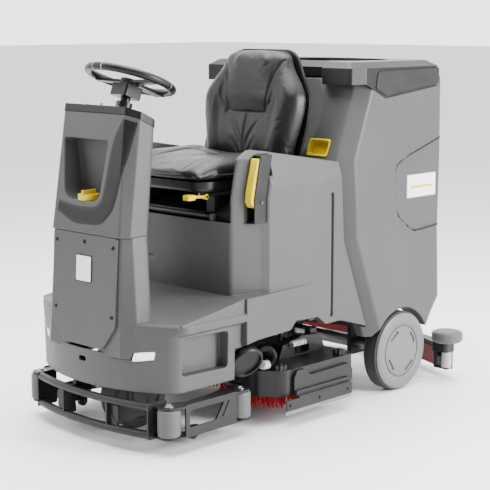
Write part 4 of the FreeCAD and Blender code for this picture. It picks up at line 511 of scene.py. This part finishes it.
def laid_on(tree, line, to_space, direction, lift):
    """The points of a flat line dropped onto the pad, a little proud of it."""
    hits = (tree.ray_cast(to_space(spot), direction)[0] for spot in line)
    return [point - direction * lift for point in hits if point is not None]


def resampled(line, step):
    """A chain of straight runs cut into equal short steps."""
    result = [line[0]]
    for a, b in zip(line, line[1:]):
        count = max(1, round((b - a).length / step))
        result.extend(a + (b - a) * (k / count) for k in range(1, count + 1))
    return result


def stitches(tree, line, to_space, direction, pitch=0.006, radius=0.0006):
    """A row of short threads beside a seam."""
    spots = laid_on(tree, resampled(line, pitch / 4.0), to_space, direction, radius * 0.4)
    vertices, faces = [], []
    for start in range(0, len(spots) - 3, 4):
        run = [spots[start], spots[start + 1] - direction * radius * 0.6, spots[start + 2]]
        if (run[-1] - run[0]).length < pitch:
            add_tube(vertices, faces, run, [radius] * 3, 5)
    return mesh_from(vertices, faces)


def beside(line, offset):
    """A copy of a flat chain moved sideways."""
    moved = []
    for i, point in enumerate(line):
        ahead = line[min(i + 1, len(line) - 1)] - line[max(i - 1, 0)]
        normal = Vector((-ahead.y, ahead.x)).normalized()
        moved.append(point + normal * offset)
    return moved


# Backrest
BACK_LOW, BACK_HIGH = (Vector(corner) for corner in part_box("seat_back"))
BACK_HEIGHT = BACK_HIGH.z - BACK_LOW.z
BACK_LEAN = 0.052
BACK_DEPTH = 0.078


def back_half(z):
    """Half width of the backrest at a height: broad at the shoulders, round at the top."""
    t = (z - BACK_LOW.z) / BACK_HEIGHT
    width = 0.205 + 0.045 * smoothstep(0.02, 0.56, t)
    width -= 0.085 * smoothstep(0.58, 0.94, t)
    crown = max(0.0, (t - 0.90) / 0.10)
    return width * math.sqrt(max(0.0, 1.0 - crown ** 2.4)) ** 0.55


def back_rear_y(z):
    """The plane of the backrest's rear, which leans backwards."""
    lean = BACK_LEAN * max(0.0, (z - 0.945) / (1.338 - 0.945))
    return BACK_LOW.y + BACK_DEPTH + lean


def back_front(u, v):
    z = BACK_LOW.z + BACK_HEIGHT * (v + 1.0) / 2.0
    t = (v + 1.0) / 2.0
    rim = (1.0 - abs(u) ** 6) ** 0.5 * (1.0 - abs(v) ** 14) ** 0.5
    wing = smoothstep(0.50, 0.86, abs(u)) * (1.0 - smoothstep(0.62, 0.92, t)) * smoothstep(0.0, 0.14, t)
    lumbar = 0.010 * math.exp(-((t - 0.25) / 0.16) ** 2) * (1.0 - u * u)
    head = 0.012 * smoothstep(0.50, 0.60, t) * (1.0 - smoothstep(0.42, 0.62, abs(u)))
    depth = (0.052 + 0.030 * wing + lumbar + head) * rim
    return Vector((back_half(z) * u, back_rear_y(z) - 0.020 - depth, z))


def back_rear(u, v):
    z = BACK_LOW.z + BACK_HEIGHT * (v + 1.0) / 2.0
    rim = (1.0 - abs(u) ** 8) ** 0.5 * (1.0 - abs(v) ** 14) ** 0.5
    return Vector((back_half(z) * u, back_rear_y(z) - 0.020 + 0.019 * rim, z))


def front_space(spot):
    return Vector((spot.x, BACK_LOW.y - 0.5, spot.y))


def arc_chain(points, steps=6):
    """A chain of runs with its corners cut round by a quadratic curve through each corner."""
    chain = [points[0]]
    for before, corner, after in zip(points, points[1:], points[2:]):
        start = corner.lerp(before, 0.3)
        end = corner.lerp(after, 0.3)
        for k in range(steps + 1):
            t = k / steps
            chain.append(start.lerp(corner, t).lerp(corner.lerp(end, t), t))
    chain.append(points[-1])
    return chain


HEAD_PANEL = arc_chain([Vector(p) for p in (
    (0.150, 1.300), (0.118, 1.245), (0.098, 1.130), (0.092, 1.105), (-0.092, 1.105), (-0.098, 1.130),
    (-0.118, 1.245), (-0.150, 1.300))])
BACK_SEAM = [Vector((0.0, 1.105)), Vector((0.0, 0.915))]
back_seams = [resampled(HEAD_PANEL, 0.01), resampled(BACK_SEAM, 0.01)]
back_mesh = puffed(closed_pad(back_front, back_rear, 48, 60), back_seams, [0, 2],
                   lambda co: co[1] > back_rear_y(co[2]) - 0.012)
back_mesh = sewn(back_mesh, back_seams, [0, 2], -Y_AXIS)
back_piece = piece("backrest_padding", back_mesh, "seat_leather", "seat", 80.0)
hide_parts("seat_back")
back_tree = probe(back_mesh)
for label, line in (("head", HEAD_PANEL), ("centre", BACK_SEAM)):
    for side in (-1, 1):
        row = stitches(back_tree, beside(resampled(line, 0.01), side * 0.005), front_space, Y_AXIS)
        piece("back_stitches_" + label + ("_a" if side < 0 else "_b"), row, "thread", "seat")


def back_piping_spot(z, side):
    return Vector((side * (back_half(z) - 0.004), back_rear_y(z) - 0.024, z))


heights = [BACK_LOW.z + 0.01 + (BACK_HEIGHT - 0.016) * k / 60 for k in range(61)]
piping = [back_piping_spot(z, -1) for z in heights] + [back_piping_spot(z, 1) for z in reversed(heights)]
piece("back_piping", tube(piping, 0.0035, 10), "seat_leather", "seat")

# Cushion
CUSHION_LOW, CUSHION_HIGH = (Vector(corner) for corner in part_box("seat_cushion"))
CUSHION_CENTRE = (CUSHION_LOW + CUSHION_HIGH) / 2.0
CUSHION_HALF = (CUSHION_HIGH - CUSHION_LOW) / 2.0


def cushion_rim(u, v, power):
    return ((1.0 - abs(u) ** power) * (1.0 - abs(v) ** power)) ** 0.5


def cushion_plan(u, v):
    """Plan point of the cushion: square behind, with rounded front lobes."""
    x = CUSHION_CENTRE.x + CUSHION_HALF.x * u * math.sqrt(1.0 - 0.10 * v * v)
    y = CUSHION_CENTRE.y + CUSHION_HALF.y * v * math.sqrt(1.0 - 0.10 * u * u)
    return x, y


def cushion_top(u, v):
    x, y = cushion_plan(u, v)
    side = smoothstep(0.45, 0.80, abs(u))
    drop = 0.030 * smoothstep(0.30, 1.0, -v)
    rise = 0.014 * side + 0.008 * smoothstep(0.2, 0.9, v) * side
    thick = 0.052 + rise - drop - 0.010 * math.exp(-((u / 0.35) ** 2))
    return Vector((x, y, CUSHION_LOW.z + 0.020 + thick * cushion_rim(u, v, 7)))


def cushion_low(u, v):
    x, y = cushion_plan(u, v)
    return Vector((x, y, CUSHION_LOW.z + 0.020 - 0.019 * cushion_rim(u, v, 10)))


def top_space(spot):
    return Vector((spot.x, spot.y, CUSHION_HIGH.z + 0.3))


CHANNEL = arc_chain([Vector(p) for p in (
    (0.132, -0.500), (0.120, -0.360), (0.150, -0.230), (0.140, -0.170), (-0.140, -0.170), (-0.150, -0.230),
    (-0.120, -0.360), (-0.132, -0.500))])
cushion_seams = [resampled(CHANNEL, 0.01)]
cushion_mesh = puffed(closed_pad(cushion_top, cushion_low, 56, 52), cushion_seams, [0, 1],
                      lambda co: co[2] < CUSHION_LOW.z + 0.012)
cushion_mesh = sewn(cushion_mesh, cushion_seams, [0, 1], Z_AXIS)
cushion_piece = piece("cushion_padding", cushion_mesh, "seat_leather", "seat", 80.0)
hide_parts("seat_cushion")
cushion_tree = probe(cushion_mesh)
for side in (-1, 1):
    row = stitches(cushion_tree, beside(resampled(CHANNEL, 0.01), side * 0.005), top_space, -Z_AXIS)
    piece("cushion_stitches" + ("_a" if side < 0 else "_b"), row, "thread", "seat")
edge_loop = []
for k in range(120):
    a = 2.0 * math.pi * k / 120
    u = math.copysign(abs(math.cos(a)) ** 0.42, math.cos(a))
    v = math.copysign(abs(math.sin(a)) ** 0.42, math.sin(a))
    x, y = cushion_plan(u, v)
    inside_y = CUSHION_CENTRE.y + (y - CUSHION_CENTRE.y) * 0.997
    edge_loop.append(Vector((x * 0.997, inside_y, CUSHION_LOW.z + 0.021)))
piece("cushion_piping", tube(edge_loop, 0.0035, 10, closed=True), "seat_leather", "seat")


# ------------------------------------------------------------------ brushes
FILAMENT_RADIUS = 0.0011


def bristle_ring(node, seed):
    """Tufts of filaments that fan out a little from the brush disc to the floor."""
    low, high = (Vector(corner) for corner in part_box(node))
    centre = (low + high) / 2.0
    outer = (high.x - low.x) / 2.0
    pick = random.Random(seed)
    vertices, faces = [], []
    for ring_radius in (0.50, 0.63, 0.76, 0.885):
        root = outer * ring_radius
        count = int(2.0 * math.pi * root / 0.0145)
        for k in range(count):
            angle = 2.0 * math.pi * (k + 0.5 * (ring_radius > 0.6)) / count
            for _ in range(6):
                spin = pick.uniform(0.0, 2.0 * math.pi)
                reach = pick.uniform(0.0015, 0.0045)
                a = angle + reach * math.cos(spin) / root
                start_radius = root + reach * math.sin(spin)
                flare = outer * (1.0 + 0.115 * (ring_radius - 0.5) / 0.385) * ring_radius
                end_radius = min(outer - 0.002, flare + pick.uniform(-0.002, 0.005))
                end_angle = a + pick.uniform(-0.004, 0.004)
                base = len(vertices)
                for step in range(4):
                    t = step / 3.0
                    r = start_radius + (end_radius - start_radius) * t ** 1.4
                    ang = a + (end_angle - a) * t
                    z = high.z + 0.002 - (high.z - low.z + 0.002) * t
                    for q in range(4):
                        s = 2.0 * math.pi * q / 4
                        out = r + FILAMENT_RADIUS * math.cos(s)
                        aside = FILAMENT_RADIUS * math.sin(s)
                        x = centre.x + out * math.cos(ang) - aside * math.sin(ang)
                        y = centre.y + out * math.sin(ang) + aside * math.cos(ang)
                        vertices.append(Vector((x, y, z)))
                for step in range(3):
                    for q in range(4):
                        m = (q + 1) % 4
                        i = base + step * 4
                        faces.append((i + q, i + m, i + m + 4, i + q + 4))
                faces.append((base, base + 1, base + 2, base + 3)[::-1])
                faces.append((base + 12, base + 13, base + 14, base + 15))
    ring = piece(node + "_filaments", mesh_from(vertices, faces), "bristle_red", NODE_BODY[node], 80.0)
    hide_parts(node)


bristle_ring("brush_bristles_left", 3)
bristle_ring("brush_bristles_right", 5)


# ------------------------------------------------------------------ plates and fasteners
def screw(name, point, normal, radius, slot, body, up=Z_AXIS):
    """A button-head screw with a round socket recess."""
    matrix = upright(point, normal, up)
    head = [(radius, -0.001), (radius, 0.001), (radius * 0.92, 0.0024), (radius * 0.70, 0.0036),
            (radius * 0.52, 0.0040), (radius * 0.45, 0.0030), (radius * 0.42, 0.0012)]
    piece(name, lathe(head, 24, matrix), slot, body)


def name_plate(name, point, normal, width, height, body, slots, stripe=None):
    """A generic plate: a dark frame, a light face and, where asked, a plain stripe."""
    matrix = upright(point, normal)
    edge = rounded_outline(width, height, 0.006)
    piece(name + "_frame", slab(edge, -0.001, 0.0022, matrix, 0.0006), slots[0], body)
    face = rounded_outline(width - 0.007, height - 0.007, 0.004)
    piece(name + "_face", slab(face, 0.0005, 0.0030, matrix, 0.0003), slots[1], body)
    if stripe:
        lift = matrix @ Matrix.Translation((0.0, stripe, 0.0))
        bar = rounded_outline(width * 0.78, height * 0.10, 0.002)
        piece(name + "_stripe", slab(bar, 0.001, 0.0035, lift, 0.0002), "print_yellow", body)


plate_point, plate_normal = hit("front_cover", (0.0, -1.2, 0.607), Y_AXIS)
name_plate("front_plate", plate_point, plate_normal, 0.084, 0.094, "machine",
           ("dark_plastic", "print_white"))
for side in (-1, 1):
    where = "left" if side > 0 else "right"
    point, normal = hit("waste_tank", (side * 0.9, 0.546, 0.809), -X_AXIS * side)
    name_plate("side_plate_" + where, point, normal, 0.188, 0.094, "machine",
               ("steel_bright", "print_white"), -0.004)

SCREW_PLACES = ((-0.150, 0.693), (0.0, 0.700), (0.150, 0.693), (-0.150, 0.456), (0.150, 0.456))
for index, (x, z) in enumerate(SCREW_PLACES):
    point, normal = hit("front_cover", (x, -1.2, z), Y_AXIS)
    screw("cover_screw_%d" % index, point, normal, 0.0075, "black_plastic", "machine")


# ------------------------------------------------------------------ trim
def evenly(line, count):
    """A chain of runs as a fixed number of points, evenly spaced along it."""
    lengths = [0.0]
    for a, b in zip(line, line[1:]):
        lengths.append(lengths[-1] + (b - a).length)
    points, run = [], 0
    for k in range(count):
        target = lengths[-1] * k / (count - 1)
        while run < len(line) - 2 and lengths[run + 1] < target:
            run += 1
        t = (target - lengths[run]) / max(lengths[run + 1] - lengths[run], 1e-9)
        points.append(line[run].lerp(line[run + 1], min(max(t, 0.0), 1.0)))
    return points


def draped_strip(name, inner, outer, node, to_space, direction, lift, slot, body, across=8, along=90):
    """A thin strip between two flat lines, laid over a CAD node."""
    tree = BVHTree.FromObject(frame["nodes"][node], bpy.context.evaluated_depsgraph_get())
    top = []
    for a, b in zip(evenly(inner, along), evenly(outer, along)):
        for k in range(across + 1):
            point = tree.ray_cast(to_space(a.lerp(b, k / across)), direction)[0]
            edge = min(k, across - k) / across
            top.append(point - direction * (lift * smoothstep(0.0, 0.16, edge) + 0.0004))
    count = len(top)
    under = [point + direction * (lift + 0.001) for point in top]
    faces, row = [], across + 1
    for i in range(along - 1):
        for k in range(across):
            a = i * row + k
            faces.append((a, a + 1, a + row + 1, a + row))
            faces.append((count + a, count + a + row, count + a + row + 1, count + a + 1))
        for a, b in ((i * row, (i + 1) * row), ((i + 1) * row + across, i * row + across)):
            faces.append((a, b, count + b, count + a))
    for start in (0, (along - 1) * row):
        for k in range(across):
            a, b = start + k, start + k + 1
            faces.append((b, a, count + a, count + b) if start == 0 else (a, b, count + b, count + a))
    mesh = mesh_from(top + under, faces)
    work = bmesh.new()
    work.from_mesh(mesh)
    bmesh.ops.recalc_face_normals(work, faces=work.faces)
    work.to_mesh(mesh)
    work.free()
    return piece(name, mesh, slot, body, 50.0)


def tower_space(spot):
    """A front-view spot (x, z) as a point in front of the tower."""
    return Vector((spot.x, -1.2, spot.y))


BAND_INNER = arc_chain([Vector(p) for p in (
    (0.150, 1.128), (0.108, 1.056), (0.076, 0.850), (0.046, 0.822), (-0.060, 0.818), (-0.150, 0.832))])
BAND_OUTER = arc_chain([Vector(p) for p in (
    (0.194, 1.112), (0.176, 0.980), (0.140, 0.820), (0.080, 0.762), (-0.060, 0.756), (-0.156, 0.792))])
draped_strip("pocket_band", BAND_INNER, BAND_OUTER, "tower_shell", tower_space, Y_AXIS, 0.0016,
             "dark_plastic", "machine")

# Dark liners in the long slots of the seat box's sides, each with a bright steel strip along one edge as a painted
# highlight
for side in (-1, 1):
    where = "left" if side > 0 else "right"
    point, normal = hit("seat_box", (side * 0.9, 0.023, 0.591), -X_AXIS * side)
    matrix = upright(point, normal)
    liner = rounded_outline(0.0165, 0.466, 0.008)
    piece("slot_liner_" + where, slab(liner, -0.0002, 0.0008, matrix, 0.0003), "black_plastic", "machine")
    # This bright strip is a painted highlight along one edge of the slot.
    lip = matrix @ Matrix.Translation((-side * 0.0066, 0.0, 0.0))
    piece("slot_highlight_strip_" + where, slab(rounded_outline(0.0022, 0.440, 0.001), 0.0, 0.0040, lip, 0.0004),
          "steel_bright", "machine")

# Bright rings round the steering wheel's rim
WHEEL_LOW, WHEEL_HIGH = (Vector(corner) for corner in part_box("steering_wheel"))
WHEEL_JOINT = next(j for j in frame["joints"] if j["name"] == "steering_turn")
WHEEL_CENTRE = Vector(WHEEL_JOINT["pos_m"])
WHEEL_AXIS = Vector(WHEEL_JOINT["axis"]).normalized()
RIM_TUBE = 0.0140
RIM_RADIUS = (WHEEL_HIGH.x - WHEEL_LOW.x) / 2.0 - RIM_TUBE
wheel_up = WHEEL_AXIS.cross(X_AXIS).normalized()
for index, degrees in enumerate((20.0, 36.0, 144.0, 160.0, 262.0, 278.0)):
    a = math.radians(degrees)
    out = X_AXIS * math.cos(a) + wheel_up * math.sin(a)
    along = wheel_up * math.cos(a) - X_AXIS * math.sin(a)
    middle = WHEEL_CENTRE + out * RIM_RADIUS
    ring = [middle + along * 0.0011 * k for k in (-1.4, -1.0, 0.0, 1.0, 1.4)]
    radii = [RIM_TUBE * 0.98, RIM_TUBE * 1.012, RIM_TUBE * 1.022, RIM_TUBE * 1.012, RIM_TUBE * 0.98]
    piece("rim_ring_%d" % index, tube(ring, radii, 28), "steel_bright", "steering_wheel")


def extruded(profile, x0, x1, round_end=0.006):
    """A side-view outline (y, z) drawn out along X, its ends slightly drawn in."""
    centre = Vector((sum(p[0] for p in profile) / len(profile), sum(p[1] for p in profile) / len(profile)))
    vertices, faces, count = [], [], len(profile)
    stations = ((x0, 0.94), (x0 + round_end, 1.0), (x1 - round_end, 1.0), (x1, 0.94))
    for x, scale in stations:
        for y, z in profile:
            spot = centre + (Vector((y, z)) - centre) * scale
            vertices.append(Vector((x, spot.x, spot.y)))
    for ring in range(3):
        for k in range(count):
            a, b = ring * count + k, ring * count + (k + 1) % count
            faces.append((a, b, b + count, a + count))
    faces.append(tuple(range(count))[::-1])
    faces.append(tuple(3 * count + k for k in range(count)))
    return mesh_from(vertices, faces)


# The sloping apron between the battery lid's front edge and the seat
APRON_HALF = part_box("seat_hood")[1][0] - 0.006
roll = [(-0.394 + 0.009 * math.cos(math.radians(a)), 0.7685 + 0.009 * math.sin(math.radians(a)))
        for a in range(270, 89, -20)]
apron = roll + [(-0.385, 0.782), (-0.322, 0.8235), (-0.300, 0.8285), (-0.120, 0.8285), (-0.112, 0.820),
                (-0.112, 0.767), (-0.385, 0.767)]
piece("hood_apron", extruded(apron, -APRON_HALF, APRON_HALF), "dark_plastic", "seat_hood")


# Dark joint lines in the steps that mark the rear panels of the tank's sides
PANEL_JOINT_RADIUS = 0.0034
PANEL_LINE = arc_chain([Vector(p) for p in (
    (0.668, 0.994), (0.374, 0.907), (0.393, 0.699), (0.498, 0.628), (0.668, 0.642))])
for side in (-1, 1):
    tree = BVHTree.FromObject(frame["nodes"]["waste_tank"], bpy.context.evaluated_depsgraph_get())
    line = []
    for spot in evenly(PANEL_LINE, 120):
        found = tree.ray_cast(Vector((side * 0.9, spot.x, spot.y)), -X_AXIS * side)[0]
        line.append(Vector((side * (abs(found.x) + 0.0002), spot.x, spot.y)))
    where = "left" if side > 0 else "right"
    piece("panel_joint_" + where, tube(line, PANEL_JOINT_RADIUS, 8), "black_plastic", "machine")


# ------------------------------------------------------------------ filter hose
def smooth_route(points, per_run=14):
    """A smooth line through the given points."""
    route = []
    padded = [points[0]] + points + [points[-1]]
    for a, b, c, d in zip(padded, padded[1:], padded[2:], padded[3:]):
        for k in range(per_run):
            t = k / per_run
            route.append(0.5 * ((2.0 * b) + (c - a) * t + (2.0 * a - 5.0 * b + 4.0 * c - d) * t ** 2
                                + (3.0 * b - a - 3.0 * c + d) * t ** 3))
    route.append(points[-1])
    return route


HOSE_ROUTE = [Vector(p) for p in (
    (0.352, -0.372, 0.262), (0.353, -0.348, 0.284), (0.354, -0.314, 0.292), (0.356, -0.284, 0.280),
    (0.358, -0.268, 0.256), (0.358, -0.276, 0.238), (0.358, -0.298, 0.231))]
route = evenly(smooth_route(HOSE_ROUTE), 150)
ribs = [0.0128 + 0.0017 * math.sin(2.0 * math.pi * k / 3.0) for k in range(len(route))]
piece("filter_hose", tube(route, ribs, 18), "black_plastic", "machine", 75.0)
hose_end = route[-1]
elbow_steps = ((0.0, 0.0, 0.0), (0.0, -0.018, -0.003), (0.004, -0.034, 0.004))
elbow_ends = [hose_end + Vector(step) for step in elbow_steps]
elbow = evenly(elbow_ends, 16)
cuff = [0.0145 + 0.0022 * (k in (1, 2, 12, 13)) for k in range(16)]
piece("filter_elbow", tube(elbow, cuff, 20), "light_plastic", "machine")


# ------------------------------------------------------------------ stage, light and camera
FLOOR_TONE = (0.90, 0.90, 0.90)
FLOOR_HALF = 60.0
floor_corners = [(x * FLOOR_HALF, y * FLOOR_HALF, 0.0) for x, y in ((-1, -1), (1, -1), (1, 1), (-1, 1))]
floor_mesh = mesh_from(floor_corners, [(0, 1, 2, 3)])
floor = bpy.data.objects.new("floor", floor_mesh)
floor.location.z = -0.0006
bpy.context.scene.collection.objects.link(floor)
floor_nodes = Nodes("floor")
floor_speck = floor_nodes.noise(40.0, 3.0)
floor_roughness = floor_nodes.spread(floor_speck, 0.2, 0.8, 0.50, 0.60)
floor_nodes.link(floor_roughness, floor_nodes.shader.inputs["Roughness"])
floor_nodes.shader.inputs["Base Color"].default_value = FLOOR_TONE + (1.0,)
floor_mesh.materials.append(floor_nodes.material)

# The studio is bright behind the machine and dimmer in front of it
SKY_BEHIND = 3.2
SKY_IN_FRONT = 0.34
world = bpy.data.worlds.new("studio")
world.use_nodes = True
world.node_tree.nodes["Background"].inputs["Color"].default_value = (1.0, 1.0, 1.0, 1.0)
sky_place = world.node_tree.nodes.new("ShaderNodeTexCoord")
towards = world.node_tree.nodes.new("ShaderNodeVectorMath")
towards.operation = "DOT_PRODUCT"
towards.inputs[1].default_value = (-0.694, 0.720, 0.0)
ramp = world.node_tree.nodes.new("ShaderNodeMapRange")
ramp.interpolation_type = "SMOOTHSTEP"
ramp.inputs["From Min"].default_value = -0.5
ramp.inputs["From Max"].default_value = 0.85
ramp.inputs["To Min"].default_value = SKY_IN_FRONT
ramp.inputs["To Max"].default_value = SKY_BEHIND
world.node_tree.links.new(sky_place.outputs["Generated"], towards.inputs[0])
world.node_tree.links.new(towards.outputs["Value"], ramp.inputs["Value"])
world.node_tree.links.new(ramp.outputs["Result"], world.node_tree.nodes["Background"].inputs["Strength"])
bpy.context.scene.world = world


def softbox(name, location, target, width, height, power):
    """A large rectangular lamp aimed at a point."""
    data = bpy.data.lights.new(name, "AREA")
    data.shape = "RECTANGLE"
    data.size = width
    data.size_y = height
    data.energy = power
    lamp = bpy.data.objects.new(name, data)
    lamp.location = location
    lamp.rotation_euler = (Vector(target) - Vector(location)).to_track_quat("-Z", "Y").to_euler()
    bpy.context.scene.collection.objects.link(lamp)


softbox("top_box", (0.0, -0.2, 4.2), (0.0, 0.0, 0.4), 4.0, 4.0, 560.0)
softbox("side_box", (4.6, 1.6, 1.9), (0.0, 0.1, 0.7), 1.6, 2.6, 640.0)
softbox("front_box", (-2.4, -4.0, 2.6), (0.0, -0.4, 0.7), 1.4, 1.8, 90.0)

camera_data = bpy.data.cameras.new("camera")
camera_data.sensor_width = 36.0
camera_data.lens = 100.27
camera_data.clip_end = 200.0
camera = bpy.data.objects.new("camera", camera_data)
camera.location = (3.6105, -3.7913, 1.4534)
azimuth = math.radians(43.94)
elevation = math.radians(9.39)
level = math.cos(elevation)
look = Vector((-math.sin(azimuth) * level, math.cos(azimuth) * level, -math.sin(elevation)))
camera.rotation_euler = look.to_track_quat("-Z", "Y").to_euler()
bpy.context.scene.collection.objects.link(camera)
bpy.context.scene.camera = camera
